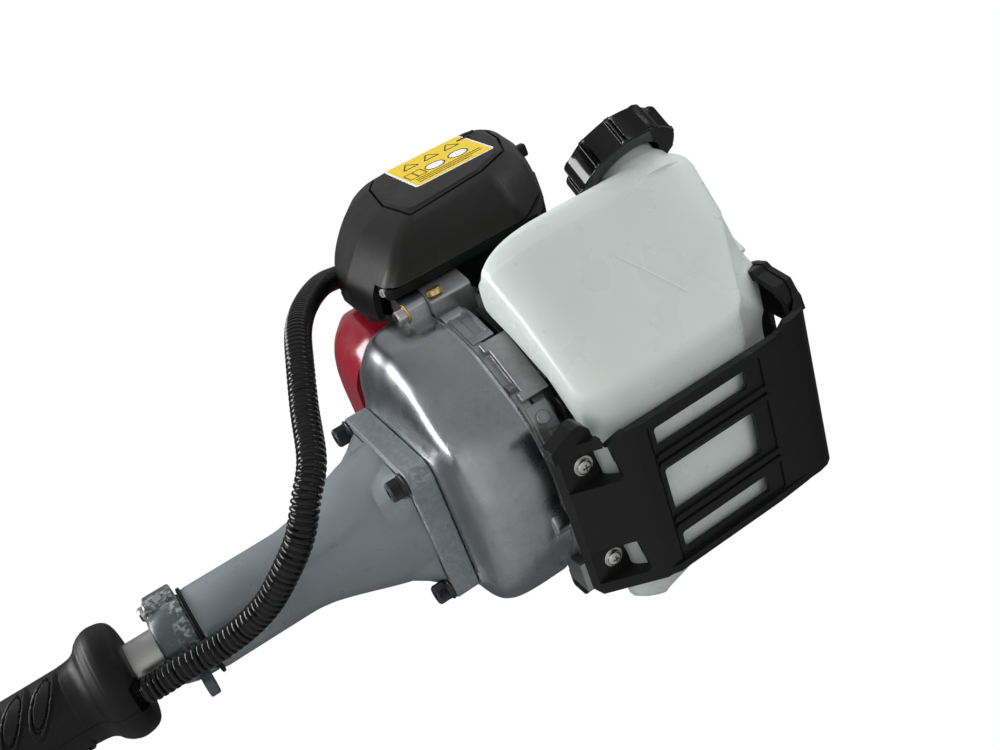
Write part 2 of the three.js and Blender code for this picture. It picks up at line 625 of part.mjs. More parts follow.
// Tank guard profiles: x, y. The bend from the floor up to the rear wall is shared.
const GUARD_REAR_BEND = [
  [168, -102], [175, -100.5], [180, -96], [182.6, -88], [182.6, -60],
  [179.6, -60], [179.6, -87], [177.5, -93.5], [173.5, -97.2], [168, -99],
];
const GUARD_PROFILE = [
  [70, -101.8], [74, -102], ...GUARD_REAR_BEND, [74, -99], [70.5, -98.9],
  [45, -85], [43.5, -80], [40.5, -80], [42, -87],
];

// Openings through the sloped front for the screw pocket at zc.
const guardPocketCuts = (zc) => [
  prism('y', [
    [zc - 9.5, 40], [zc + 10.5, 40], [zc + 10.5, 62.6], [zc - 6.8, 64.6], [zc - 9.5, 63],
  ], -110, -86.5),
  prism('y', [[zc + 1.4, 59.8], [zc - 2.2, 69.2], [zc - 17, 68.8]], -96, -80),
];

// Seat and two side walls of the screw pocket at zc.
function guardPocket(zc) {
  const seat = cut(prism('y', [
    [zc - 12, 43], [zc + 11.5, 43], [zc + 11.5, 59.7], [zc + 1.4, 59.7], [zc - 5, 60.6],
    [zc - 12, 61],
  ], -86.5, -84), rod([GUARD_SCREW_X, -90, zc], [GUARD_SCREW_X, -80, zc], 2.9, 8));
  const lowWall = prism('z', [
    [43, -84], [43, -86.6], [57, -93.6], [64, -96.8], [66.4, -97.6], [66.4, -93], [62, -89],
    [60, -84],
  ], zc - 12, zc - 9.4);
  const highWall = prism('z', [
    [43, -84], [43, -86.6], [57, -93.6], [61, -95.6], [61, -88], [59.5, -84],
  ], zc + 10.5, zc + 13);
  return join(seat, lowWall, highWall);
}

// Hollow hood on the front edge, on the intake side.
function guardHood() {
  return cut(
    prism('y', [
      [40, 38], [46.2, 37.9], [51.8, 50], [52.4, 54.6], [48, 58.6], [40, 59.6], [38, 56],
    ], -91.4, -83),
    prism('y', [
      [38, 41], [44.4, 40.6], [49.2, 50.6], [49.4, 53.4], [46, 56.2], [38, 57],
    ], -89.6, -80));
}

// Raised arm at the rear, on the intake side.
function guardArm() {
  return cut(prism('z', [[158, -102], ...GUARD_REAR_BEND, [158, -99]], 43, 63),
    prism('x', [
      [-110, 44.5], [-99, 48], [-95.5, 51], [-88, 57.5], [-76, 60], [-73, 62], [-66, 60.5],
      [-58, 57], [-50, 57], [-50, 70], [-110, 70],
    ], 150, 190),
    prism('y', [[43, 150], [44.5, 160], [58, 176.5], [64, 176.5], [64, 150]], -110, -86));
}

// Slotted plate under the tank, sloped front with two screw pockets, rear wall with an arm.
function tankGuard() {
  const slots = [[26, 36], [-12.5, 12.5], [-36, -26]]
    .map(([z0, z1]) => box(84, 137, -110, -90, z0, z1));
  const edgeNotch = prism('y', [[45, 60], [38, 60], [48, 75], [60, 75], [60, 40]], -120, -50);
  const rearNotch = prism('x', [[-70.5, 22], [-70.5, 34], [-80, 33], [-82.5, 28]], 175, 190);
  const plate = cut(prism('z', GUARD_PROFILE, -44, 44), ...slots, edgeNotch,
    ...GUARD_SCREW_Z.flatMap(guardPocketCuts));
  return cut(join(plate, ...GUARD_SCREW_Z.map(guardPocket), guardHood(), guardArm()), rearNotch);
}
addEngine('tank_guard', tankGuard(), 'blackPlastic');

// Countersunk screw, its head cross-slotted from below.
function guardScrew(zc) {
  const x = GUARD_SCREW_X;
  const head = turned([x, -89.6, zc], [0, 1, 0],
    [[0, 0], [3, 0], [4.6, 1.2], [4.6, 2.8], [0, 2.8]], 10);
  return cut(join(head, rodY(-87, -67, x, zc, 2.5, 8)),
    box(x - 0.6, x + 0.6, -92, -88.6, zc - 3, zc + 3),
    box(x - 3, x + 3, -92, -88.6, zc - 0.6, zc + 0.6));
}
GUARD_SCREW_Z.forEach((zc, k) => addEngine(`guard_screw_${k + 1}`, guardScrew(zc), 'zinc'));

// ================= adapter, clamp, pole, in the engine frame =================
const poleBore = (x0, x1) => rodX(x0, x1, 0, 0, POLE_BORE_R, 20);

function adapterHousing() {
  const plate = prism('x', roundedRect(0, 0, FLANGE_HALF, FLANGE_HALF, 8, 3), -13, 0);
  const cone = turnX([
    [0, -123], [21.5, -123], [21.5, -75], [24, -60], [30, -40], [36.5, -20], [38, -12], [0, -12],
  ], 22);
  const bore = turnX([
    [0, -124], [POLE_BORE_R, -124], [POLE_BORE_R, -62], [11, -61], [11, -56], [15.5, -55.5],
    [15.5, -40], [22, -36], [34.5, -20], [34.5, 1], [0, 1],
  ], 22);
  const boltHoles = FLANGE_BOLTS.map(([y, z]) =>
    join(rodX(-14, 1, y, z, 3.4, 8), rodX(-40, -13, y, z, 6.6, 10)));
  const slots = join(
    box(-112, -94, -25, -19, 6, 10),
    box(-108, -90, -25, -19, -10, -6),
    box(-100, -96, -25, -19, -10, 2));
  return cut(join(plate, cone), bore, ...boltHoles, slots);
}
addEngine('adapter_housing', adapterHousing(), 'greyPaint');

// Washer-headed bolt with a hexagon socket.
function flangeBolt([y, z]) {
  return cut(turned([0, y, z], [1, 0, 0], [
    [0, -21.6], [4.6, -21.6], [5, -21.1], [5, -15.2], [6.2, -15.2], [6.2, -13.4], [3, -13.4],
    [3, 10], [0, 10],
  ], 10), rodX(-22, -18.5, y, z, 2.6, 6));
}
FLANGE_BOLTS.forEach((place, k) =>
  addEngine(`flange_bolt_${k + 1}`, flangeBolt(place), 'blackOxide'));

addEngine('isolator_ring', turnX([
  [POLE_BORE_R, -125], [23, -125], [23, -123.3], [POLE_BORE_R, -123.3],
], 20), 'rubber');

function poleClamp() {
  const ring = turnX([
    [0, -143], [17.5, -143], [18.5, -141], [20, -136], [20.6, -125.3], [0, -125.3],
  ], 20);
  const ear = join(rodX(-141, -127, 19, 10, 8.5, 10),
    prism('x', [[4, 6], [19, 1.5], [20, 18], [6, 22]], -141, -127));
  const lug = cut(
    join(rodX(-134, -130, -20, -14, 6.6, 10), box(-134, -130, -20, -8, -16, -4)),
    rodX(-140, -120, -20, -14, 2.6, 8));
  const split = prism('x', [[10, 10], [30, 12], [30, 14], [8, 12]], -150, -120);
  const screwHole = rod([-134, 30, -4], [-134, 8, 26], 2.9, 8);
  return cut(join(ring, ear, lug), poleBore(-150, -120), split, screwHole);
}
addEngine('pole_clamp', poleClamp(), 'clampGreen');

addEngine('pole_tube', cut(rodX(-FLANGE_TO_ELBOW + 42, -62.5, 0, 0, POLE_R, 20),
  rodX(-FLANGE_TO_ELBOW, -60, 0, 0, POLE_R - POLE_WALL, 20)), 'tube');
addEngine('drive_shaft', rodX(-FLANGE_TO_ELBOW + 40, -16, 0, 0, 4, 10), 'steel');

// Throttle conduit from the intake side to the grip: x, y, z.
const CONDUIT_PATH = [
  [45, 136.5, 67.5], [38.8, 130.5, 70.3], [31.6, 122, 74.6], [23, 110, 80], [13.4, 92, 86.3],
  [2.9, 72, 91.6], [-7.4, 51, 95.6], [-17, 29, 97.4], [-25.5, 9, 93.5], [-36, -12, 83],
  [-47, -38, 73], [-58, -49, 64], [-68, -52, 51], [-80, -50, 38], [-93, -45, 25],
  [-107, -39, 16], [-121, -34, 11], [-136, -29, 8], [-147, -25.5, 5.2], [-156.6, -23.5, 4],
];
addEngine('throttle_conduit', bar(CONDUIT_PATH, 6.2, 24, 7), 'glossBlack');

// Grip: two shells around the pole, a collar at the engine end, trigger housing at the far end.
function wholeGrip() {
  const sleeve = turnX([
    [0, -352], [20, -352], [23, -346], [23, -262], [21, -248], [19.6, -236], [19.6, -182],
    [21, -177], [26, -173], [28.5, -167], [27.5, -160], [23, -157.3], [0, -157.3],
  ], 22);
  const triggerHousing = prism('x', roundedRect(-18, 0, 14, 12, 5, 2), -346, -262);
  return cut(join(sleeve, triggerHousing), poleBore(-360, -150),
    rodX(-162, -150, -23, 4, 7.5, 8),              // conduit end
    box(-336.5, -274, -40, -13.8, -6, 6),          // trigger
    box(-313.5, -283.6, 13.8, 30, -5, 5),          // lockout lever
    box(-341, -327, 13.8, 30, -5, 5));             // stop switch
}
const grip = wholeGrip();
addEngine('grip_left', cut(grip, box(-400, -100, -60, 60, -60, GAP / 2)), 'rubber');
addEngine('grip_right', cut(grip, box(-400, -100, -60, 60, -GAP / 2, 60)), 'rubber');

addEngine('throttle_trigger', prism('z', soften([
  [-330, -27.5], [-276, -14.6], [-276, -24], [-284, -31], [-300, -42], [-318, -52], [-327, -50],
  [-330, -40],
]), -5.6, 5.6), 'blackPlastic');
addEngine('lockout_lever', prism('z', soften([
  [-311, 19], [-285, 14.2], [-285, 24], [-292, 30], [-305, 33], [-311, 29],
]), -4.6, 4.6), 'blackPlastic');
addEngine('stop_switch', prism('z', soften([
  [-340.4, 14.2], [-332, 14.2], [-332, 27], [-336, 28.5], [-340.4, 27],
], 0.15), -4.6, 4.6), 'rubberRed');

// Front loop handle, y and z along its path, and its clamp.
const HANDLE_PATH = [
  [34, -40], [34, 0], [34, 40], [38, 72], [60, 118], [120, 158], [175, 130], [192, 60],
  [194, 0], [192, -60], [175, -130], [120, -158], [60, -118], [38, -72],
];
addEngine('front_handle',
  bar(HANDLE_PATH.map(([y, z]) => [FRONT_HANDLE_X, y, z]), 11, 36, 6, true), 'rubber');

function handleClamp() {
  const x = FRONT_HANDLE_X;
  return cut(box(x - 20, x + 20, -24, 48, -20, 20), poleBore(x - 30, x + 30),
    rodZ(-30, 30, x, 34, 12.6, 14),
    box(x - 30, x + 30, -1, 1, 10, 30));
}
addEngine('handle_clamp', handleClamp(), 'blackPlastic');

// ================= rotor head, in the rotor frame =================
const DIAGONALS = [45, 135, 225, 315];   // degrees

// Worm gear casing with an inclined socket for the pole.
function gearboxHousing() {
  const shell = join(
    turnZ([[0, 96], [44, 96], [46, 100], [46, 148], [40, 156], [0, 156]], 22),
    box(-34, 46, WORM_Y - 20, WORM_Y + 24, WORM_Z - 22, WORM_Z + 20),
    rodX(ELBOW_X - 24, ELBOW_X + 4, WORM_Y, WORM_Z, 21, 16),
    turned(elbow, poleAxis, [[0, -14], [21, -14], [21, 60], [18, 86], [0, 86]], 16),
    turnZ([[0, 72], [24, 72], [26, 97], [0, 97]], 16),
    ...DIAGONALS.map((degrees) => rodZ(96, 112, ...onCircle(40, degrees), 10, 8)));
  const hollow = join(
    turnZ([[0, 118], [36, 118], [36, 146], [0, 146]], 20),
    turnZ([[0, 60], [10.8, 60], [10.8, 158], [0, 158]], 16),
    rodX(-30, ELBOW_X - 16, WORM_Y, WORM_Z, 13, 16),
    rodX(ELBOW_X - 18, ELBOW_X + 2, WORM_Y, WORM_Z, 11, 14),
    turned(elbow, poleAxis, [
      [0, -4], [11, -4], [11, 40], [POLE_BORE_R, 40], [POLE_BORE_R, 90], [0, 90],
    ], 20),
    rodX(-36, -28, WORM_Y, WORM_Z, 6.8, 12));
  return cut(shell, hollow);
}
addRotor('gearbox_housing', gearboxHousing(), 'gearbox');

// Left-hand thread, one start: a groove faces the wheel's tooth at rest.
function wormShaft() {
  const pitch = (2 * Math.PI * WHEEL_PITCH_R) / WHEEL_TEETH;
  const half = pitch * 2.2;
  const steps = 58;
  const core = turned([0, WORM_Y, WORM_Z], [1, 0, 0], [
    [0, -34], [5.7, -34], [5.7, -20], [6.4, -20], [6.4, 20], [5.7, 20], [5.7, 40], [0, 40],
  ], 20);
  const sections = Array.from({ length: steps + 1 }, (_, i) => {
    const x = -half + (2 * half * i) / steps;
    const t = (-(x - pitch / 2) / pitch) * 2 * Math.PI;
    // The thread fades out at both ends.
    const fade = Math.min(1, Math.min(x + half, half - x) / (pitch * 0.4));
    const crest = 6.1 + 4.1 * Math.max(0.05, fade);
    return [[-0.27, 5.9], [-0.11, crest], [0.11, crest], [0.27, 5.9]]
      .map(([f, r]) => [x + f * pitch, WORM_Y + r * Math.cos(t), WORM_Z + r * Math.sin(t)]);
  });
  return join(core, loft(sections));
}
addRotor('worm_shaft', wormShaft(), 'steel');

// Worm wheel, its teeth slanted to suit the thread's lead.
function wormWheel() {
  const step = (2 * Math.PI) / WHEEL_TEETH;
  const twist = -0.00397;   // radians per millimetre of height
  const tooth = [[-0.3, 27.8], [-0.09, 31.4], [0.09, 31.4], [0.3, 27.8]];   // of a step, radius
  const level = (z) => Array.from({ length: WHEEL_TEETH }, (_, k) => tooth.map(([f, r]) => {
    const t = (k + f) * step - Math.PI / 2 + twist * z;
    return [r * Math.cos(t), r * Math.sin(t), WORM_Z + z];
  })).flat();
  return cut(loft([-7, 0, 7].map(level)), rodZ(WORM_Z - 9, WORM_Z + 9, 0, 0, 10.3, 16));
}
addRotor('worm_wheel', wormWheel(), 'bronze');
addRotor('output_shaft', rodZ(52.5, 152, 0, 0, 10, 16), 'steel');

// Rotor: hub with four arms on which the blades pivot.
function rotorSpider() {
  const hub = turnZ([[0, 14], [34, 14], [38, 18], [38, 40], [26, 46], [22, 66], [0, 66]], 20);
  const arms = [0, 90, 180, 270].map((degrees) =>
    rod([...onCircle(20, degrees), ARM_Z], [...onCircle(262, degrees), ARM_Z], 8, 10));
  return cut(join(hub, ...arms), rodZ(52, 70, 0, 0, 10.3, 16));
}
addRotor('rotor_spider', rotorSpider(), 'castDark');

// Blade along +x: a flat plate with a bracket that sleeves the arm.
function trowelBlade() {
  const plate = prism('z', [
    [88, -46], [92, -50], [286, -50], [290, -46], [290, 50], [284, 56], [94, 56], [88, 50],
  ], 0, BLADE_T);
  const bracket = join(
    box(96, 256, -14, 14, BLADE_T - 0.5, 8),
    box(96, 256, -9, 9, 7, 18),
    rodX(96, 256, 0, ARM_Z, 13, 14),
    box(100, 118, -42, -8, 12, 20));
  return cut(join(plate, bracket), rodX(80, 300, 0, ARM_Z, 8.9, 10));
}
const blade = trowelBlade();
for (let k = 0; k < 4; k++) {
  addRotor(`trowel_blade_${k + 1}`, blade.rotate([0, 0, 90 * k]), 'blade');
}

// Guard ring with four stays in to a collar under the gear casing.
function guardRing() {
  const hoop = turned([0, 0, RING_Z], [0, 0, 1],
    polarPoints(6, () => RING_TUBE_R, RING_R), 48);
  const stays = DIAGONALS.flatMap((degrees) => {
    const at = (r, z) => [...onCircle(r, degrees), z];
    return [
      rod(at(RING_R, RING_Z), at(230, STAY_Z), 7, 6),
      rod(at(236, STAY_Z), at(52, STAY_Z), 7, 6),
    ];
  });
  const collar = cut(turnZ([[0, 80], [56, 80], [56, 95.6], [0, 95.6]], 20),
    turnZ([[0, 70], [27, 70], [27, 98], [0, 98]], 16));
  return join(cut(join(hoop, ...stays), rodZ(70, 110, 0, 0, 50, 20)), collar);
}
addRotor('guard_ring', guardRing(), 'ringPaint');

addRotor('pitch_knob', join(rodZ(156.4, 172, 0, 0, 7, 10),
  prism('z', polarPoints(24, (t) => 22 + 2 * Math.cos(6 * t)), 170, 186)), 'blackPlastic');

export default tool;
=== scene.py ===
import bpy
import bmesh
import json
import math
import numpy as np
from mathutils import Vector, Matrix, Quaternion


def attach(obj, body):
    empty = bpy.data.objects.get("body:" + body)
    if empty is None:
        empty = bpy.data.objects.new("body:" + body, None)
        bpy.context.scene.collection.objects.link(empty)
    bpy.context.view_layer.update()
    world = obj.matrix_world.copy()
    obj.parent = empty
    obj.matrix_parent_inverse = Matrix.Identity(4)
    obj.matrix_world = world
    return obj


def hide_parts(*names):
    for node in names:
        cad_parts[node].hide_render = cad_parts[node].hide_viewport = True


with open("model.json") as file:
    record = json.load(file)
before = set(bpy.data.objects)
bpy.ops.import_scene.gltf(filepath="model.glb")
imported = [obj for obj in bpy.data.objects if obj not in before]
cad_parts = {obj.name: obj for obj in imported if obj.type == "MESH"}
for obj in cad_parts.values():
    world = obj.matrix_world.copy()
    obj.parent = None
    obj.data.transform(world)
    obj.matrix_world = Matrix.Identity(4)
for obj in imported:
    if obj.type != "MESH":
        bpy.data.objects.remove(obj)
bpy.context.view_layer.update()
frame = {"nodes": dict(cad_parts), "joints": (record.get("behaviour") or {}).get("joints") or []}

# ---------------------------------------------------------------- frames
JOINT = {j["name"]: j for j in frame["joints"]}
F = Vector(JOINT["crank_spin"]["pos_m"])
P = Vector(JOINT["crank_spin"]["axis"]).normalized()
U = Vector((-P.z, 0, P.x))
S = Vector((0, -1, 0))
K = 0.001
ME = Matrix(((P.x * K, U.x * K, S.x * K, F.x), (P.y * K, U.y * K, S.y * K, F.y), (P.z * K, U.z * K, S.z * K, F.z), (0, 0, 0, 1)))
RX = JOINT["rotor_spin"]["pos_m"][0]
RY = JOINT["rotor_spin"]["pos_m"][1]
MW = Matrix(((K, 0, 0, RX), (0, K, 0, RY), (0, 0, K, 0), (0, 0, 0, 1)))
COL = bpy.context.scene.collection
D2R = math.pi / 180


def eng(p, u, s):
    return ME @ Vector((p, u, s))


# ---------------------------------------------------------------- mesh helpers (millimetres)
def mesh(verts, faces, weld=1e-4):
    me = bpy.data.meshes.new("m")
    me.from_pydata([tuple(v) for v in verts], [], [tuple(f) for f in faces])
    bm = bmesh.new()
    bm.from_mesh(me)
    bmesh.ops.remove_doubles(bm, verts=bm.verts, dist=weld)
    bmesh.ops.dissolve_degenerate(bm, dist=weld, edges=bm.edges)
    bmesh.ops.recalc_face_normals(bm, faces=bm.faces)
    if bm.calc_volume(signed=True) < 0:
        bmesh.ops.reverse_faces(bm, faces=bm.faces)
    bm.to_mesh(me)
    bm.free()
    return me


def evaluated(me, build):
    ob = bpy.data.objects.new("tmp", me)
    COL.objects.link(ob)
    tools = build(ob)
    dg = bpy.context.evaluated_depsgraph_get()
    dg.update()
    out = bpy.data.meshes.new_from_object(ob.evaluated_get(dg), preserve_all_data_layers=False, depsgraph=dg)
    bpy.data.objects.remove(ob)
    for t in tools or []:
        bpy.data.objects.remove(t)
    return out


def csg(base, *ops):
    """ops: ('+', mesh) or ('-', mesh) or ('&', mesh)."""
    def build(ob):
        made = []
        for sign, m in ops:
            t = bpy.data.objects.new("tool", m)
            COL.objects.link(t)
            made.append(t)
            mod = ob.modifiers.new("b", "BOOLEAN")
            mod.operation = {"+": "UNION", "-": "DIFFERENCE", "&": "INTERSECT"}[sign]
            mod.solver = "MANIFOLD"
            mod.object = t
        return made
    out = evaluated(base, build)
    if len(out.polygons) == 0:
        raise RuntimeError("empty boolean")
    return out


def join(*m):
    return csg(m[0], *[("+", x) for x in m[1:]])


def cut(m, *c):
    return csg(m, *[("-", x) for x in c])


def box(x0, x1, y0, y1, z0, z1):
    v = [(x, y, z) for x in (x0, x1) for y in (y0, y1) for z in (z0, z1)]
    return mesh(v, [(0, 1, 3, 2), (4, 6, 7, 5), (0, 4, 5, 1), (2, 3, 7, 6), (0, 2, 6, 4), (1, 5, 7, 3)])


def frame_for(axis):
    a = Vector(axis).normalized()
    q = Vector((0, 1, 0)).rotation_difference(a)
    return q.to_matrix()


def turned(origin, axis, profile, n=64, closed=True):
    """Profile of (radius, distance along the axis), turned right round."""
    q = frame_for(axis)
    o = Vector(origin)
    verts, rows = [], []
    for r, h in profile:
        if r < 1e-6:
            rows.append([len(verts)] * n)
            verts.append(o + q @ Vector((0, h, 0)))
        else:
            row = []
            for i in range(n):
                t = 2 * math.pi * i / n
                row.append(len(verts))
                verts.append(o + q @ Vector((r * math.sin(t), h, r * math.cos(t))))
            rows.append(row)
    loop = profile[0][0] > 1e-6 or profile[-1][0] > 1e-6
    if profile[0][0] <= 1e-6 and profile[-1][0] <= 1e-6:
        loop = False
    faces = []
    count = len(rows) if loop else len(rows) - 1
    for k in range(count):
        a, b = rows[k], rows[(k + 1) % len(rows)]
        for i in range(n):
            j = (i + 1) % n
            f = [a[i], a[j], b[j], b[i]]
            g = [x for m, x in enumerate(f) if x not in f[:m]]
            if len(g) > 2:
                faces.append(g)
    return mesh(verts, faces)


def rod(a, b, r0, r1=None, n=40):
    r1 = r0 if r1 is None else r1
    A, B = Vector(a), Vector(b)
    h = (B - A).length
    return turned(a, B - A, [(0, 0), (r0, 0), (r1, h), (0, h)], n)


def rounded_rod(a, b, r, e=0.6, n=48):
    A, B = Vector(a), Vector(b)
    h = (B - A).length
    pr = [(0, 0)]
    for k in range(4):
        t = k / 3 * math.pi / 2
        pr.append((r - e + e * math.sin(t), e - e * math.cos(t)))
    for k in range(4):
        t = k / 3 * math.pi / 2
        pr.append((r - e + e * math.cos(t), h - e + e * math.sin(t)))
    pr.append((0, h))
    return turned(a, B - A, pr, n)


def prism(axis, pts, a0, a1):
    """Outline pairs are (y,z), (z,x) or (x,y)."""
    def at(u, v, a):
        return {"x": (a, u, v), "y": (v, a, u), "z": (u, v, a)}[axis]
    n = len(pts)
    v = [at(u, w, a0) for u, w in pts] + [at(u, w, a1) for u, w in pts]
    f = [tuple(range(n)), tuple(range(2 * n - 1, n - 1, -1))]
    f += [(i, (i + 1) % n, n + (i + 1) % n, n + i) for i in range(n)]
    return mesh(v, f)


def loft(rings):
    n = len(rings[0])
    v = [p for r in rings for p in r]
    f = []
    for k in range(len(rings) - 1):
        for i in range(n):
            j = (i + 1) % n
            f.append((k * n + i, k * n + j, (k + 1) * n + j, (k + 1) * n + i))
    f.append(tuple(range(n)))
    f.append(tuple((len(rings) - 1) * n + i for i in range(n)))
    return mesh(v, f)


def ring_pts(n, r, turn=0.0):
    out = []
    for i in range(n):
        t = turn + 2 * math.pi * i / n
        q = r(t) if callable(r) else r
        out.append((q * math.cos(t), q * math.sin(t)))
    return out


def rrect(cx, cy, hx, hy, r, k=6):
    p = []
    for sx, sy, a0 in ((1, 1, 0), (-1, 1, 90), (-1, -1, 180), (1, -1, 270)):
        for i in range(k + 1):
            a = (a0 + 90 * i / k) * D2R
            p.append((cx + sx * (hx - r) + r * math.cos(a), cy + sy * (hy - r) + r * math.sin(a)))
    return p


def soften(pts, times=1, w=0.25):
    q = [tuple(p) for p in pts]
    for _ in range(times):
        o = []
        for i, a in enumerate(q):
            b = q[(i + 1) % len(q)]
            o.append(tuple(a[m] + (b[m] - a[m]) * w for m in range(len(a))))
            o.append(tuple(a[m] + (b[m] - a[m]) * (1 - w) for m in range(len(a))))
        q = o
    return q


def fillet(pts, r, k=5):
    """Rounds each corner of a closed outline with radius r (a number or a list)."""
    out = []
    n = len(pts)
    for i in range(n):
        a, b, c = (Vector(pts[(i + j) % n][:2]) for j in (-1, 0, 1))
        ri = r[i] if isinstance(r, (list, tuple)) else r
        d1, d2 = (a - b), (c - b)
        l1, l2 = d1.length, d2.length
        d1.normalize()
        d2.normalize()
        cosang = max(-0.9999, min(0.9999, d1.dot(d2)))
        half = math.acos(cosang) / 2
        t = min(ri / math.tan(half), l1 * 0.48, l2 * 0.48) if ri > 0 else 0
        if t < 1e-3 or half > 1.55:
            out.append((b.x, b.y))
            continue
        p1, p2 = b + d1 * t, b + d2 * t
        for j in range(k + 1):
            s = j / k
            q = p1 * (1 - s) ** 2 + b * 2 * s * (1 - s) + p2 * s ** 2
            out.append((q.x, q.y))
    return out


def catmull(points, steps, closed=False):
    pts = [Vector(p) for p in points]
    out = []
    n = len(pts)
    last = n if closed else n - 1
    for i in range(last):
        p0 = pts[(i - 1) % n] if closed or i > 0 else pts[0] * 2 - pts[1]
        p1, p2 = pts[i], pts[(i + 1) % n]
        p3 = pts[(i + 2) % n] if closed or i + 2 < n else pts[-1] * 2 - pts[-2]
        for k in range(steps):
            t = k / steps
            out.append(0.5 * ((2 * p1) + (p2 - p0) * t + (2 * p0 - 5 * p1 + 4 * p2 - p3) * t * t + (3 * p1 - p0 - 3 * p2 + p3) * t ** 3))
    if not closed:
        out.append(pts[-1])
    return out


def sweep(path, radius, seg=24, closed=False, section=None):
    """A round (or given) section carried along a path without twisting. radius(s) is by arc length."""
    pts = [Vector(p) for p in path]
    n = len(pts)
    tang = []
    for i in range(n):
        a = pts[i - 1] if (closed or i > 0) else pts[0]
        b = pts[(i + 1) % n] if (closed or i < n - 1) else pts[-1]
        tang.append((b - a).normalized())
    up = Vector((0, 0, 1)) if abs(tang[0].z) < 0.9 else Vector((1, 0, 0))
    nrm = (up - tang[0] * up.dot(tang[0])).normalized()
    s = 0.0
    rings = []
    for i in range(n):
        if i:
            s += (pts[i] - pts[i - 1]).length
            nrm = (nrm - tang[i] * nrm.dot(tang[i])).normalized()
        bi = tang[i].cross(nrm)
        r = radius(s) if callable(radius) else radius
        if section:
            rings.append([pts[i] + nrm * (x * r) + bi * (y * r) for x, y in section])
        else:
            rings.append([pts[i] + (nrm * math.cos(2 * math.pi * k / seg) + bi * math.sin(2 * math.pi * k / seg)) * r for k in range(seg)])
    m = len(rings[0])
    v = [p for r in rings for p in r]
    f = []
    for k in range(n if closed else n - 1):
        q = (k + 1) % n
        for i in range(m):
            j = (i + 1) % m
            f.append((k * m + i, k * m + j, q * m + j, q * m + i))
    if not closed:
        f.append(tuple(range(m)))
        f.append(tuple((n - 1) * m + i for i in range(m)))
    return mesh(v, f)


def resample(path, step):
    pts = [Vector(p) for p in path]
    out, left = [pts[0]], step
    for a, b in zip(pts, pts[1:]):
        d = (b - a).length
        pos = 0.0
        while d - pos >= left:
            pos += left
            out.append(a.lerp(b, pos / d))
            left = step
        left -= d - pos
    out.append(pts[-1])
    return out


def smooth_table(tab, n, ease=True):
    """Rows (x, ...) resampled to n rows with a monotone cubic."""
    a = np.array(tab, float)
    x = a[:, 0]
    xs = np.linspace(x[0], x[-1], n)
    out = [xs]
    for c in range(1, a.shape[1]):
        y = a[:, c]
        h = np.diff(x)
        dlt = np.diff(y) / h
        m = np.zeros(len(x))
        m[0], m[-1] = dlt[0], dlt[-1]
        for i in range(1, len(x) - 1):
            m[i] = 0 if dlt[i - 1] * dlt[i] <= 0 else 2 * dlt[i - 1] * dlt[i] / (dlt[i - 1] + dlt[i])
        k = np.clip(np.searchsorted(x, xs, side="right") - 1, 0, len(x) - 2)
        t = (xs - x[k]) / h[k]
        out.append((2 * t ** 3 - 3 * t ** 2 + 1) * y[k] + (t ** 3 - 2 * t ** 2 + t) * h[k] * m[k] + (-2 * t ** 3 + 3 * t ** 2) * y[k + 1] + (t ** 3 - t ** 2) * h[k] * m[k + 1])
    return [tuple(r) for r in np.array(out).T]


def tidy(me, bevel=0.0, seg=2, limit=32):
    def build(ob):
        w = ob.modifiers.new("w", "WELD")
        w.merge_threshold = 0.01
        if bevel > 0:
            b = ob.modifiers.new("v", "BEVEL")
            b.width = bevel
            b.segments = seg
            b.limit_method = "ANGLE"
            b.angle_limit = limit * D2R
            b.use_clamp_overlap = True
            b.loop_slide = True
        t = ob.modifiers.new("t", "TRIANGULATE")
        t.min_vertices = 5
    return evaluated(me, build)


def piece(name, me, mat, body="chassis", M=ME, bevel=0.0, seg=2, limit=32, sharp=38, stands_for=(), wn=True):
    if bevel >= 0:
        me = tidy(me, bevel, seg, limit)
    me.transform(M)
    me.shade_smooth()
    me.set_sharp_from_angle(angle=sharp * D2R)
    ob = bpy.data.objects.new(name, me)
    COL.objects.link(ob)
    me.materials.clear()
    me.materials.append(mat)
    if wn:
        w = ob.modifiers.new("n", "WEIGHTED_NORMAL")
        w.keep_sharp = True
        w.weight = 60
    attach(ob, body)
    if stands_for:
        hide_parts(*([stands_for] if isinstance(stands_for, str) else stands_for))
    return ob


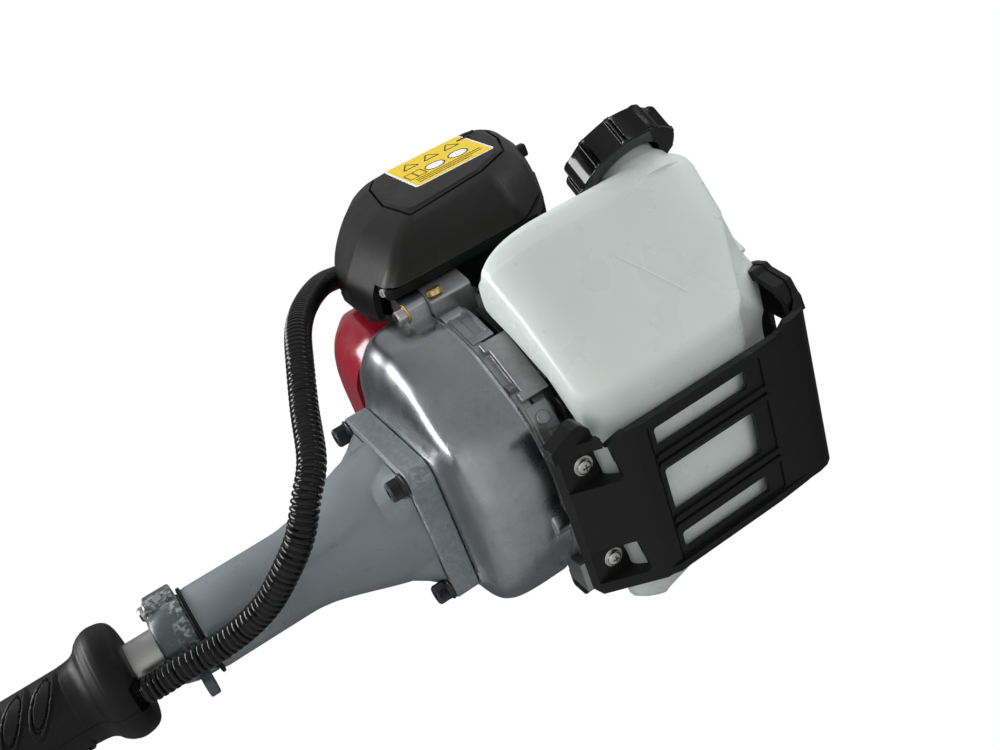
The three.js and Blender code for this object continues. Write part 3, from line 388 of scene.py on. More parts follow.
# ---------------------------------------------------------------- materials
class Mat:
    def __init__(self, name):
        self.m = bpy.data.materials.new(name)
        self.m.use_nodes = True
        self.t = self.m.node_tree
        self.t.nodes.clear()
        self.out = self.t.nodes.new("ShaderNodeOutputMaterial")
        self.b = self.t.nodes.new("ShaderNodeBsdfPrincipled")
        self.t.links.new(self.b.outputs[0], self.out.inputs[0])
        self.c = self.t.nodes.new("ShaderNodeTexCoord").outputs["Object"]

    def link(self, a, b):
        self.t.links.new(a, b)

    def put(self, key, v):
        s = self.b.inputs[key]
        if hasattr(v, "is_output"):
            self.link(v, s)
        elif isinstance(v, (tuple, list)):
            s.default_value = tuple(v) + ((1.0,) if len(v) == 3 and s.type == "RGBA" else ())
        else:
            s.default_value = v
        return self

    def scaled(self, sc):
        n = self.t.nodes.new("ShaderNodeMapping")
        n.inputs["Scale"].default_value = sc
        self.link(self.c, n.inputs["Vector"])
        return n.outputs[0]

    def noise(self, scale, detail=3.0, rough=0.55, vec=None, dist=0.0):
        n = self.t.nodes.new("ShaderNodeTexNoise")
        n.inputs["Scale"].default_value = scale
        n.inputs["Detail"].default_value = detail
        n.inputs["Roughness"].default_value = rough
        n.inputs["Distortion"].default_value = dist
        self.link(vec or self.c, n.inputs["Vector"])
        return n.outputs["Fac"]

    def cells(self, scale, feature="F1", rnd=1.0, vec=None, out="Distance"):
        n = self.t.nodes.new("ShaderNodeTexVoronoi")
        n.feature = feature
        n.inputs["Scale"].default_value = scale
        n.inputs["Randomness"].default_value = rnd
        self.link(vec or self.c, n.inputs["Vector"])
        return n.outputs[out]

    def ramp(self, v, a, b, c0=(0, 0, 0, 1), c1=(1, 1, 1, 1), mode="LINEAR"):
        n = self.t.nodes.new("ShaderNodeValToRGB")
        n.color_ramp.interpolation = mode
        n.color_ramp.elements[0].position = a
        n.color_ramp.elements[0].color = tuple(c0) + ((1.0,) if len(c0) == 3 else ())
        n.color_ramp.elements[1].position = b
        n.color_ramp.elements[1].color = tuple(c1) + ((1.0,) if len(c1) == 3 else ())
        self.link(v, n.inputs[0])
        return n.outputs[0]

    def span(self, v, a, b, lo, hi):
        n = self.t.nodes.new("ShaderNodeMapRange")
        n.inputs[1].default_value, n.inputs[2].default_value = a, b
        n.inputs[3].default_value, n.inputs[4].default_value = lo, hi
        self.link(v, n.inputs[0])
        return n.outputs[0]

    def mix(self, f, a, b, mode="MIX"):
        n = self.t.nodes.new("ShaderNodeMix")
        n.data_type = "RGBA"
        n.blend_type = mode
        for key, v in ((0, f), (6, a), (7, b)):
            if hasattr(v, "is_output"):
                self.link(v, n.inputs[key])
            elif isinstance(v, (tuple, list)):
                n.inputs[key].default_value = tuple(v) + ((1.0,) if len(v) == 3 else ())
            else:
                n.inputs[key].default_value = v
        return n.outputs[2]

    def calc(self, op, a, b=0.0, clamp=False):
        n = self.t.nodes.new("ShaderNodeMath")
        n.operation = op
        n.use_clamp = clamp
        for i, v in enumerate((a, b)):
            if hasattr(v, "is_output"):
                self.link(v, n.inputs[i])
            else:
                n.inputs[i].default_value = v
        return n.outputs[0]

    def worn(self, lo=0.52, hi=0.62):
        g = self.t.nodes.new("ShaderNodeNewGeometry")
        return self.span(g.outputs["Pointiness"], lo, hi, 0.0, 1.0)

    def bump(self, height, strength=0.3, dist=0.0004, after=None):
        n = self.t.nodes.new("ShaderNodeBump")
        n.inputs["Strength"].default_value = strength
        n.inputs["Distance"].default_value = dist
        self.link(height, n.inputs["Height"])
        if after is not None:
            self.link(after, n.inputs["Normal"])
        self.link(n.outputs[0], self.b.inputs["Normal"])
        return n.outputs[0]


def metal(name, base, dark, rough=(0.28, 0.46), blotch=55.0, grain=900.0, bump=0.18, metallic=1.0, streak=None, big=0.0006):
    m = Mat(name)
    n1 = m.noise(blotch, 5, 0.62, dist=0.4)
    n2 = m.noise(grain, 2, 0.6)
    f = m.span(n1, 0.34, 0.66, 0, 1)
    col = m.mix(f, dark, base)
    col = m.mix(m.calc("MULTIPLY", m.ramp(m.noise(blotch * 6, 4, 0.7), 0.52, 0.75), 0.35), col, tuple(x * 0.72 for x in dark))
    col = m.mix(m.calc("MULTIPLY", m.worn(), 0.55), col, tuple(min(1, x * 1.35) for x in base))
    m.put("Base Color", col).put("Metallic", metallic)
    m.put("Roughness", m.span(m.noise(blotch * 1.7, 4, 0.6), 0.3, 0.7, rough[0], rough[1]))
    b1 = m.bump(n2, bump, 0.00025)
    v = m.scaled(streak) if streak else None
    m.bump(m.noise(blotch * 2.2 if not streak else 1.0, 3, 0.55, vec=v), 0.12, big, after=b1)
    return m.m


def plastic(name, base, rough=(0.36, 0.5), grain=1500.0, bump=0.12, coat=0.0, scuff=0.25, spec=0.5, light=None, dist=0.0002):
    m = Mat(name)
    n1 = m.noise(38, 4, 0.6)
    light = light or tuple(min(1, x * 1.9 + 0.02) for x in base)
    col = m.mix(m.span(n1, 0.3, 0.7, 0, 0.35), base, light)
    scr = m.ramp(m.noise(260, 6, 0.75, dist=1.5), 0.60, 0.72)
    col = m.mix(m.calc("MULTIPLY", scr, scuff * 0.5), col, tuple(min(1, x + 0.16) for x in base))
    col = m.mix(m.calc("MULTIPLY", m.worn(0.53, 0.66), scuff), col, tuple(min(1, x * 1.6 + 0.08) for x in base))
    m.put("Base Color", col)
    m.put("Roughness", m.span(m.noise(90, 4, 0.6), 0.3, 0.7, rough[0], rough[1]))
    m.put("Specular IOR Level", spec)
    if coat:
        m.put("Coat Weight", coat).put("Coat Roughness", 0.12)
    m.bump(m.noise(grain, 2, 0.5), bump, dist)
    return m.m


def paint(name, base, rough=(0.3, 0.42), chips=0.5, grain=600.0, bump=0.12, metallic=0.0, sparkle=0.0, chipcol=(0.62, 0.64, 0.65)):
    m = Mat(name)
    n1 = m.noise(30, 4, 0.6)
    col = m.mix(m.span(n1, 0.3, 0.7, 0, 1), tuple(x * 0.88 for x in base), tuple(min(1, x * 1.1) for x in base))
    chip = m.ramp(m.noise(420, 4, 0.7, dist=0.6), 0.70, 0.715)
    gate = m.ramp(m.noise(34, 2, 0.5), 0.52, 0.6)
    chip = m.calc("MULTIPLY", chip, gate)
    edge = m.calc("MULTIPLY", m.worn(0.54, 0.6), m.ramp(m.noise(300, 4, 0.7), 0.5, 0.56))
    mask = m.calc("MAXIMUM", m.calc("MULTIPLY", chip, chips), m.calc("MULTIPLY", edge, chips), True)
    col = m.mix(mask, col, chipcol)
    if sparkle:
        sp = m.ramp(m.cells(1400), 0.06, 0.12, (1, 1, 1), (0, 0, 0))
        col = m.mix(m.calc("MULTIPLY", sp, sparkle), col, (0.75, 0.78, 0.78))
    m.put("Base Color", col).put("Metallic", metallic)
    m.put("Roughness", m.span(m.noise(140, 3, 0.6), 0.3, 0.7, rough[0], rough[1]))
    m.put("Coat Weight", 0.25).put("Coat Roughness", 0.18)
    m.bump(m.noise(grain, 3, 0.6), bump, 0.0003)
    return m.m


M_CAST = metal("m_cast", (0.47, 0.485, 0.505), (0.36, 0.375, 0.395), (0.22, 0.36), 24, 900, 0.09, big=0.0003)
M_CASE = metal("m_case", (0.46, 0.465, 0.47), (0.32, 0.325, 0.33), (0.36, 0.5), 60, 600, 0.26)
M_DARKCAST = metal("m_dark_cast", (0.34, 0.345, 0.35), (0.2, 0.205, 0.21), (0.42, 0.6), 60, 600, 0.3)
M_STEEL = metal("m_steel", (0.62, 0.63, 0.64), (0.5, 0.5, 0.51), (0.18, 0.32), 40, 1400, 0.08, streak=(8, 8, 600))
M_ZINC = metal("m_zinc", (0.74, 0.74, 0.72), (0.5, 0.5, 0.49), (0.14, 0.3), 130, 1800, 0.06)
M_OXIDE = metal("m_black_oxide", (0.055, 0.055, 0.06), (0.03, 0.03, 0.032), (0.25, 0.42), 160, 1500, 0.15, metallic=0.6)
M_TUBE = metal("m_tube", (0.52, 0.52, 0.51), (0.44, 0.44, 0.43), (0.32, 0.45), 35, 1500, 0.1, streak=(30, 900, 900))
M_BRASS = metal("m_brass", (0.72, 0.55, 0.22), (0.5, 0.36, 0.12), (0.2, 0.34), 120, 1500, 0.1)
M_BRONZE = metal("m_bronze", (0.6, 0.4, 0.2), (0.45, 0.28, 0.13), (0.25, 0.4), 120, 1200, 0.12)
M_BLADE = metal("m_blade_steel", (0.5, 0.5, 0.51), (0.3, 0.29, 0.285), (0.2, 0.42), 26, 1300, 0.12, streak=(12, 260, 260))
M_GREY = paint("m_grey_paint", (0.180, 0.208, 0.224), (0.26, 0.38), 0.85, 500, 0.10)
M_CLAMP = paint("m_clamp_paint", (0.062, 0.080, 0.083), (0.32, 0.44), 0.4, 900, 0.28, metallic=0.2, sparkle=0.25)
M_RING = paint("m_ring_paint", (0.70, 0.33, 0.03), (0.25, 0.4), 0.7, 400, 0.12)
M_GEAR = paint("m_gearbox_paint", (0.12, 0.135, 0.15), (0.38, 0.52), 0.6, 260, 0.45)
M_RUBBER = plastic("m_rubber", (0.0045, 0.0045, 0.005), (0.40, 0.54), 900, 0.24, scuff=0.12, spec=0.24, light=(0.008, 0.008, 0.009), dist=0.0003)
M_BLACK = plastic("m_black_plastic", (0.003, 0.003, 0.0033), (0.27, 0.38), 1100, 0.22, scuff=0.08, spec=0.22, light=(0.0045, 0.0045, 0.005), dist=0.00022)
M_GLOSS = plastic("m_gloss_black", (0.002, 0.002, 0.0028), (0.08, 0.16), 500, 0.04, coat=0.25, scuff=0.05, spec=0.36, light=(0.003, 0.0034, 0.0045))
M_CONDUIT = plastic("m_conduit", (0.0018, 0.0018, 0.002), (0.14, 0.22), 700, 0.05, coat=0.12, scuff=0.06, spec=0.32, light=(0.003, 0.003, 0.0033))
M_CHAR = plastic("m_charcoal", (0.0100, 0.0093, 0.0088), (0.36, 0.48), 1300, 0.34, scuff=0.1, spec=0.30, light=(0.0130, 0.0121, 0.0113), dist=0.0003)
M_RED = plastic("m_red_plastic", (0.25, 0.006, 0.018), (0.2, 0.32), 600, 0.06, coat=0.4, scuff=0.1, light=(0.34, 0.012, 0.03))
M_REDSW = plastic("m_red_switch", (0.5, 0.02, 0.02), (0.35, 0.45), 900, 0.15)
M_FRICTION = plastic("m_friction", (0.06, 0.05, 0.045), (0.75, 0.9), 700, 0.6, dist=0.0006)
M_CERAMIC = plastic("m_ceramic", (0.78, 0.78, 0.74), (0.1, 0.2), 400, 0.03, scuff=0.05)
M_GREENBLK = plastic("m_insulator", (0.008, 0.016, 0.014), (0.4, 0.55), 700, 0.25, light=(0.014, 0.026, 0.022))
M_YELLOW = plastic("m_sticker_yellow", (0.80, 0.56, 0.004), (0.3, 0.42), 1200, 0.05, scuff=0.06, light=(0.84, 0.60, 0.008))
M_WHITE = plastic("m_sticker_white", (0.86, 0.86, 0.84), (0.3, 0.42), 1200, 0.05, scuff=0.04, light=(0.9, 0.9, 0.88))
M_INK = plastic("m_sticker_ink", (0.02, 0.018, 0.016), (0.35, 0.5), 1200, 0.05, scuff=0.05)
M_PINK = plastic("m_sticker_pale", (0.62, 0.42, 0.62), (0.25, 0.4), 1200, 0.05, scuff=0.1, light=(0.72, 0.66, 0.78))


def foam_mat():
    m = Mat("m_foam")
    c = m.cells(900)
    m.put("Base Color", m.mix(m.ramp(c, 0.2, 0.6), (0.02, 0.021, 0.022), (0.06, 0.062, 0.066))).put("Roughness", 0.95)
    m.bump(c, 0.9, 0.0008)
    return m.m


def clear_mat():
    m = Mat("m_clear_soft")
    m.put("Base Color", m.mix(m.noise(80), (0.75, 0.78, 0.70), (0.82, 0.84, 0.78))).put("Roughness", m.span(m.noise(120), 0.3, 0.7, 0.12, 0.25))
    m.put("Transmission Weight", 0.55).put("IOR", 1.45)
    m.bump(m.noise(500), 0.05, 0.0002)
    return m.m


def tank_mat():
    m = Mat("m_tank")
    big = m.noise(9, 3, 0.5)
    col = m.mix(m.span(big, 0.35, 0.65, 0, 1), (0.62, 0.675, 0.655), (0.69, 0.74, 0.72))
    fleck = m.ramp(m.cells(34, rnd=1.0), 0.012, 0.02, (1, 1, 1), (0, 0, 0))
    col = m.mix(m.calc("MULTIPLY", fleck, 0.35), col, (0.35, 0.38, 0.36))
    m.put("Base Color", col)
    m.put("Roughness", m.span(m.noise(40, 4), 0.3, 0.7, 0.24, 0.34))
    m.put("Subsurface Weight", 0.6).put("Subsurface Radius", (0.9, 1.0, 0.95)).put("Subsurface Scale", 0.016)
    m.put("Specular IOR Level", 0.55)
    b1 = m.bump(m.noise(70, 3, 0.5), 0.10, 0.0006)
    m.bump(m.noise(900, 2, 0.5), 0.05, 0.0002, after=b1)
    return m.m


M_FOAM, M_CLEAR, M_TANK = foam_mat(), clear_mat(), tank_mat()
# mould line colour: paler than the tank plastic, a painted highlight standing in for light caught by the ridge
M_MOULD_LINE_HIGHLIGHT = plastic("m_mould_line_painted_highlight", (0.80, 0.84, 0.82), (0.3, 0.4), 900, 0.05, scuff=0.03, light=(0.84, 0.88, 0.86))

# ================================================================ engine: fan cover and crankcase
COVER_R = [(0, 69), (20, 72), (38, 75.5), (55, 73.5), (75, 76), (95, 79), (112, 84), (128, 80), (150, 74), (180, 72), (210, 73), (240, 74),
           (270, 74.5), (295, 73), (320, 70), (340, 69), (360, 69)]


def cover_radius(deg):
    d = deg % 360
    for (a0, r0), (a1, r1) in zip(COVER_R, COVER_R[1:]):
        if a0 <= d <= a1:
            t = (d - a0) / (a1 - a0)
            return r0 + (r1 - r0) * t * t * (3 - 2 * t)
    return 70


def cover_ring(x, k, inset, n=130):
    out = []
    for i in range(n):
        deg = i / n * 360
        t = deg * D2R
        u, s = -math.cos(t), math.sin(t)
        sq = 43.5 / (abs(u) ** 7 + abs(s) ** 7) ** (1 / 7)
        r = (1 - k) * min(sq, 55) + k * cover_radius(deg) - inset
        out.append((x, r * u, r * s))
    return out


outer = loft([cover_ring(x, k, i) for x, k, i in smooth_table([(0.3, 0.0, 0.9), (1.2, 0.03, 0.2), (2.5, 0.13, 0), (6, 0.58, 0), (10, 0.8, 0), (16, 0.93, 0), (24, 0.985, 0), (33, 1, 0), (44, 1, 0), (45, 1, 0.6)], 46)])
inner = loft([cover_ring(x, k, i) for x, k, i in smooth_table([(6.5, 0.2, 3.5), (12, 0.72, 4), (20, 0.9, 4), (46, 1, 4.5)], 14)])
boss = prism("x", fillet([(14, 66), (33, 66), (35, 84), (30, 92), (16, 88)], 3), 33, 45)
boss2 = rounded_rod((36.4, -62, -8), (45, -62, -8), 9, 1.2)
seat2 = loft([[(x, -62 + r * math.cos(t), -8 + r * 1.0 * math.sin(t)) for t in [2 * math.pi * i / 40 for i in range(40)]] for x, r in ((45, 15), (40, 12.5), (37.2, 10.4))])
holes = [rod((-1, i * 33.5, j * 33.5), (12, i * 33.5, j * 33.5), 3.3, n=24) for i in (1, -1) for j in (1, -1)]
body = csg(outer, ("+", boss), ("+", boss2), ("-", inner), ("-", rod((-1, 0, 0), (8, 0, 0), 34.6, n=64)), *[("-", h) for h in holes])
piece("cover_casting", body, M_CAST, bevel=0.7, seg=2, limit=40, sharp=45, stands_for="fan_cover")

rim = loft([cover_ring(45.35, 1, 2.0), cover_ring(46.1, 1, 1.4), cover_ring(51.5, 1, 1.4), cover_ring(52.5, 1, 2.2), cover_ring(56, 1, 7)])
rim_cut = loft([cover_ring(44, 1, 6, 60), cover_ring(50, 1, 6, 60)])
block = prism("x", fillet([(-58, -42), (-58, 42), (-40, 58), (30, 58), (44, 44), (44, -44), (30, -58), (-40, -58)], 8), 50, 108)
cboss = prism("x", fillet([(10, 60), (33, 60), (35, 84), (30, 93), (10, 88)], 3), 45.3, 68)
feet = [box(52, 66, -66, -56, 18, 38), box(52, 66, -66, -56, -38, -18), box(45.5, 60, -60, -44, -64, -46), box(46, 64, -48, -20, 40, 58)]
case = csg(rim, ("+", block), ("+", cboss), *[("+", f) for f in feet],
           ("-", rim_cut), ("-", rod((60, 0, 0), (109, 0, 0), 36.5, n=64)), ("-", rod((40, 0, 0), (62, 0, 0), 9.2)), ("-", rod((85, 30, 0), (85, 50, 0), 21.5)))
piece("crankcase_casting", case, M_CASE, bevel=0.9, seg=2, limit=40, stands_for="crankcase")


def polar(x, deg, r):
    t = deg * D2R
    return (x, -math.cos(t) * r, math.sin(t) * r)


def arc_plate(x0, x1, d0, d1, r0, r1, taper=0.0, n=14):
    """A plate that follows the casting round from angle d0 to d1, between radii r0 and r1."""
    rings = []
    for i in range(n + 1):
        d = d0 + (d1 - d0) * i / n
        base = cover_radius(d) - 74
        rings.append([polar(x0 + taper, d, r1 + base), polar(x1 - taper, d, r1 + base), polar(x1, d, r0 + base), polar(x0, d, r0 + base)])
    return loft(rings)


# stepped panels along the rim of the crankcase
piece("case_panel_upper", cut(arc_plate(46.3, 60, 74, 96, 58, 73.4, 0.6), arc_plate(49.5, 57.5, 78, 92, 71.2, 80)), M_CASE, bevel=0.8, limit=35)
piece("case_panel_middle", cut(arc_plate(47.0, 63.5, 44, 71, 56, 76.6, 0.8, 18), arc_plate(45.0, 50.2, 47.5, 67, 72.8, 84)), M_CASE, bevel=1.1, seg=3, limit=35)
piece("case_panel_lower", arc_plate(46.3, 60, 20, 42, 56, 73.4, 0.8), M_CASE, bevel=1.0, limit=35)
piece("case_clip", join(prism("x", fillet([(1, 69), (10, 69), (11, 78), (2, 79)], 2), 45.6, 55), rounded_rod((45.4, 5.5, 77), (57, 5.5, 77), 3.2)), M_CASE, bevel=0.5)
piece("case_gasket", arc_plate(60.4, 64.4, 18, 88, 50, 74.6, 0.3, 30), M_BLACK, bevel=0.5)
piece("case_bracket", join(arc_plate(64.6, 70, 28, 48, 48, 74.5, 0.6, 12), rounded_rod((61, -60, 43), (73, -60, 43), 7.2, 1.0)), M_BLACK, bevel=0.8)
for k, (d, x) in enumerate(((36, 52.5), (101, 55))):
    c = polar(x, d, cover_radius(d) - 1.5)
    o = polar(x, d, cover_radius(d) + 1.6)
    piece("case_plug_%d" % (k + 1), rounded_rod(c, o, 3.4, 0.5, 24), M_CASE if k == 0 else M_ZINC)


# screws
def hexagon(r, turn=0.0):
    return ring_pts(6, r, turn)


def socket_screw(o, axis, head_r, head_h, socket, washer=0.0, washer_t=1.6, knurl=0, spring=False):
    """Head, hex socket and washer stack; the head points along axis from the seat o."""
    o, a = Vector(o), Vector(axis).normalized()
    z = 0.0
    parts = []
    if washer:
        parts.append(turned(o, a, [(0, 0), (washer - 0.25, 0), (washer, 0.3), (washer, washer_t - 0.3), (washer - 0.25, washer_t), (0, washer_t)], 48))
        z = washer_t
    if spring:
        parts.append(turned(o + a * z, a, [(0, 0.02), (head_r + 0.3, 0.02), (head_r + 0.3, 1.25), (0, 1.25)], 48))
        z += 1.25
    n = 96 if knurl else 48
    rows = []
    prof = [(0, z), (head_r - 0.15, z), (head_r, z + 0.3), (head_r, z + head_h - 0.9), (head_r - 0.7, z + head_h), (0, z + head_h)]
    head = turned(o, a, prof, n)
    if knurl:
        q = frame_for(a)
        bm = bmesh.new()
        bm.from_mesh(head)
        for v in bm.verts:
            w = q.transposed() @ (v.co - o)
            r = math.hypot(w.x, w.z)
            if r > head_r - 0.2 and z + 0.1 < w.y < z + head_h - 0.2:
                ang = math.atan2(w.x, w.z)
                r2 = r + (0.16 if int(round(ang / (2 * math.pi) * n)) % 2 else -0.16)
                w = Vector((w.x * r2 / r, w.y, w.z * r2 / r))
                v.co = o + q @ w
        bm.to_mesh(head)
        bm.free()
    hole = turned(o, a, [(0, z + head_h - 3.2), (socket, z + head_h - 2.4), (socket, z + head_h + 1), (0, z + head_h + 1)], 6)
    head = cut(head, hole)
    return parts, head


def phillips(o, axis, r, h, washer=0.0):
    o, a = Vector(o), Vector(axis).normalized()
    pr = [(0, 0), (r, 0), (r, h * 0.35)]
    for k in range(1, 6):
        t = k / 5 * math.pi / 2
        pr.append((r * (0.35 + 0.65 * math.cos(t)) if k < 5 else 0, h * 0.35 + h * 0.65 * math.sin(t)))
    head = turned(o, a, pr, 48)
    q = frame_for(a)
    e1, e2 = q @ Vector((1, 0, 0)), q @ Vector((0, 0, 1))
    tools = []
    for d, e in ((e1, e2), (e2, e1)):
        v, f = [], []
        for s1, s2, s3 in [(i, j, k) for i in (-1, 1) for j in (-1, 1) for k in (0, 1)]:
            w = 0.55 * (1 if s3 else 0.45)
            v.append(o + d * (s1 * r * 0.56 * (1 if s3 else 0.5)) + e * (s2 * w) + a * (h * (0.35 if s3 == 0 else 1.2)))
        f = [(0, 1, 3, 2), (4, 6, 7, 5), (0, 4, 5, 1), (2, 3, 7, 6), (0, 2, 6, 4), (1, 5, 7, 3)]
        tools.append(mesh(v, f))
    head = cut(head, *tools)
    parts = []
    if washer:
        parts.append(turned(o - a * 0.9, a, [(0, 0), (washer - 0.2, 0), (washer, 0.2), (washer, 0.75), (washer - 0.2, 0.95), (0, 0.95)], 40))
    return parts, head


def screw(name, parts, head, mat, mat2=None, body="chassis", bevel=0.0, stands_for=()):
    piece(name, head, mat, body=body, bevel=bevel, sharp=30, stands_for=stands_for)
    for k, p in enumerate(parts):
        piece("%s_washer%s" % (name, "" if k == 0 else "_%d" % (k + 1)), p, mat2 or mat, body=body, sharp=30)


# flange bolts
for k, (i, j) in enumerate(((1, 1), (-1, 1), (-1, -1), (1, -1))):
    parts, head = socket_screw((-13.2, i * 33.5, j * 33.5), (-1, 0, 0), 5.0, 6.0, 2.6, washer=6.2, washer_t=1.3, knurl=1, spring=True)
    head = join(head, rod((-13, i * 33.5, j * 33.5), (10, i * 33.5, j * 33.5), 3.0, n=24))
    screw("engine_bolt_%d" % (k + 1), parts, head, M_OXIDE, M_OXIDE, stands_for="flange_bolt_%d" % (k + 1))
parts, head = socket_screw((33, 14.6, 86.2), (-1, 0, 0), 4.0, 5.0, 2.1, washer=5.2, washer_t=1.1)
screw("boss_bolt", parts, head, M_ZINC, M_BRASS)
parts, head = socket_screw((36.2, -62, -8), (-1, 0, 0), 3.4, 3.6, 1.9, washer=5.6, washer_t=0.9)
screw("case_bolt", parts, head, M_ZINC, M_CASE)
piece("brass_plug", cut(turned((49.5, 12.5, 89.4), (0, 0.25, 1), [(0, 0), (4.1, 0), (4.1, 2.4), (3.4, 3.0), (0, 3.0)], 32), turned((49.5, 12.5, 89.4), (0, 0.25, 1), [(0, 1.6), (2, 1.6), (2, 4), (0, 4)], 6)), M_BRASS)
# small rubber foot
piece("rubber_foot", prism("x", rrect(-47, -66, 6.2, 6.2, 2), 46, 60), M_RUBBER, bevel=1.0, seg=3)

# cover parting line seal
piece("cover_seal", loft([cover_ring(44.9, 1, 3.0), cover_ring(45.5, 1, 3.0)]), M_RUBBER, bevel=0)


# ================================================================ shroud, cylinder, exhaust
def shroud_ring(x, y0, y1, z, r):
    return [(x, y, s) for y, s in rrect((y0 + y1) / 2, 0, (y1 - y0) / 2, z, r, 9)]


so = loft([shroud_ring(*r) for r in smooth_table([(9, 72, 112, 30, 18), (9.4, 70, 114.5, 32.5, 19.5), (10.5, 66, 118, 36, 22), (14, 58, 126, 44, 28), (20, 52, 133, 51, 32), (30, 46, 138, 57, 34),
           (70, 46, 138.4, 58, 33), (122, 46, 138, 58, 30), (130, 47.5, 136.6, 56.4, 28), (134, 50, 134, 54, 26)], 70)])
si = loft([shroud_ring(*r) for r in [(14.5, 66, 116, 36, 22), (20, 58, 126, 44, 27), (31, 49.5, 133.8, 53.3, 31), (122, 49.5, 133.8, 54.3, 27), (135, 53, 131, 51, 24)]])
sh = csg(so, ("-", si), ("-", box(0, 150, 30, 60, -70, 70)), ("-", rod((-1, 0, 0), (46, 0, 0), 84.5, n=120)),
         ("-", box(46, 150, 60, 112, 43, 70)), ("-", box(46, 130, 56, 105, -70, -45)), ("-", rod((85, 120, 0), (85, 140, 0), 15, n=48)))
piece("shroud", sh, M_RED, bevel=0.8, seg=3, limit=40, stands_for="top_shroud")

cyl = join(rod((85, 44.3, 0), (85, 104, 0), 27, n=64), box(60, 107, 44.3, 50, -30, 30))
fins = []
for k in range(5):
    y = 60 + k * 9.6
    w = 28 if k < 2 else 33
    fins.append(prism("y", rrect(0, 85, w, w, 6), y, y + 2.4))
cyl = csg(cyl, *[("+", f) for f in fins], ("+", box(66, 104, 62, 90, 26, 36.5)), ("+", box(66, 104, 62, 90, -38.5, -26)),
          ("-", rod((85, 43, 0), (85, 96, 0), 19.6)), ("-", rod((85, 76, 0), (85, 76, 38), 7)), ("-", rod((85, 76, 0), (85, 76, -40), 8)), ("-", rod((85, 95, 0), (85, 105, 0), 4.3)))
piece("cylinder_casting", cyl, M_DARKCAST, bevel=0.4, seg=1, stands_for="cylinder_block")

muf = csg(prism("z", rrect(88, 70, 33, 23, 8), -88, -44), ("+", rod((85, 76, -48), (85, 76, -39), 11)), ("+", rod((112, 52, -70), (128, 52, -70), 5)),
          ("-", rod((85, 76, -38), (85, 76, -60), 7)), ("-", rod((112, 52, -70), (129, 52, -70), 3.4)))
piece("muffler_can", muf, M_DARKCAST, bevel=1.6, seg=3, limit=40, stands_for="muffler")
g = cut(prism("z", rrect(88, 66, 42, 34, 10), -106, -91), prism("z", rrect(88, 66, 39, 31, 8), -103, -90), *[box(58, 118, 44 + k * 12, 49.5 + k * 12, -108, -100) for k in range(4)])
piece("muffler_shield", g, M_BLACK, bevel=0.8, seg=2, stands_for="muffler_guard")
pc = cut(join(turned((85, 0, 0), (0, 1, 0), [(0, 118), (9, 118), (9.2, 124), (9.5, 134), (8.6, 137.2), (7, 138.6), (0, 139)], 48), rod((85, 127, 0), (85, 125, -24), 5, 4.4, 32)), rod((85, 117, 0), (85, 133, 0), 5.4))
piece("plug_boot", pc, M_RUBBER, bevel=0.5, stands_for="plug_cap")
lead = resample(catmull([(85, 125, -22), (84, 124.6, -30), (80, 122, -38), (72, 112, -42), (62, 98, -43), (52, 80, -41)], 10), 1.5)
piece("ignition_lead", sweep(lead, 2.6, 16), M_RUBBER, bevel=-1)

# ================================================================ intake side
car = csg(box(68, 102, 62, 90, 36.8, 46), ("+", box(68, 102, 60, 92, 44.3, 68)), ("+", rod((76, 60.5, 56), (76, 48, 56), 11)), ("+", rod((94, 91, 56), (94, 100, 56), 6)),
          ("-", rod((85, 76, 36), (85, 76, 69), 7)), ("-", rod((76, 47, 56), (76, 56.5, 56), 9)))
piece("carburettor_body", car, M_CASE, bevel=0.7, stands_for="carburetor")
piece("primer_dome", turned((76, 45.5, 56), (0, -1, 0), [(0, -5.2), (8.6, -5.2), (8.6, 2)] + [(8.6 * math.cos(t) + 0.0, 2 + 7.8 * math.sin(t)) for t in [k / 10 * math.pi / 2 for k in range(1, 10)]] + [(0, 9.8)], 48), M_CLEAR, body="primer", stands_for="primer_bulb")
plate = prism("z", fillet([(36, 46), (27, 62), (28, 104), (42, 118), (140, 118), (148, 100), (146, 62), (136, 46)], 6), 68.3, 73)
wall = cut(prism("z", rrect(88, 82, 46, 29, 8), 72, 84), prism("z", rrect(88, 82, 43.4, 26.4, 6), 71, 85))
ribs = [box(x, x + 2.2, 46.5, 52, 64.5, 69) for x in (52, 60, 68, 76, 84, 92, 100, 108, 116, 124, 132)]
base = csg(plate, ("+", wall), ("+", box(50, 128, 38, 45.2, 72, 93)), ("+", box(46, 136, 44, 50, 70, 76)), *[("+", r) for r in ribs], ("-", rod((85, 76, 60), (85, 76, 74), 7.5)))
piece("cleaner_base", base, M_BLACK, bevel=0.6, stands_for="air_cleaner_base")
# dark insulator block, adjuster and cable between the cover and the boss
piece("intake_insulator", prism("z", rrect(84, 50, 24, 11, 3), 44, 60), M_GREENBLK, bevel=0.8)
adj = []
for k in range(9):
    adj += [(3.0, k * 1.1), (3.5, k * 1.1 + 0.55)]
A0, A1 = Vector((38, 33, 93)), Vector((70, 50, 84))
ax = (A1 - A0).normalized()
piece("cable_adjuster", turned(A0 + ax * 9, ax, [(0, 0)] + adj + [(3.0, 10), (0, 10)], 32), M_ZINC, sharp=50)
piece("adjuster_nut", turned(A0 + ax * 19.2, ax, [(0, 0), (4.6, 0), (5.2, 0.6), (5.2, 3.2), (4.6, 3.8), (0, 3.8)], 6), M_ZINC, bevel=0.25)
piece("adjuster_ferrule", turned(A0 + ax * 3, ax, [(0, 0), (2.1, 0), (2.6, 1.2), (2.6, 6), (0, 6)], 28), M_ZINC)
piece("throttle_cable", sweep(resample([A0 - ax * 10, A0 + ax * 4], 1.0), 2.2, 14), M_STEEL, bevel=-1)
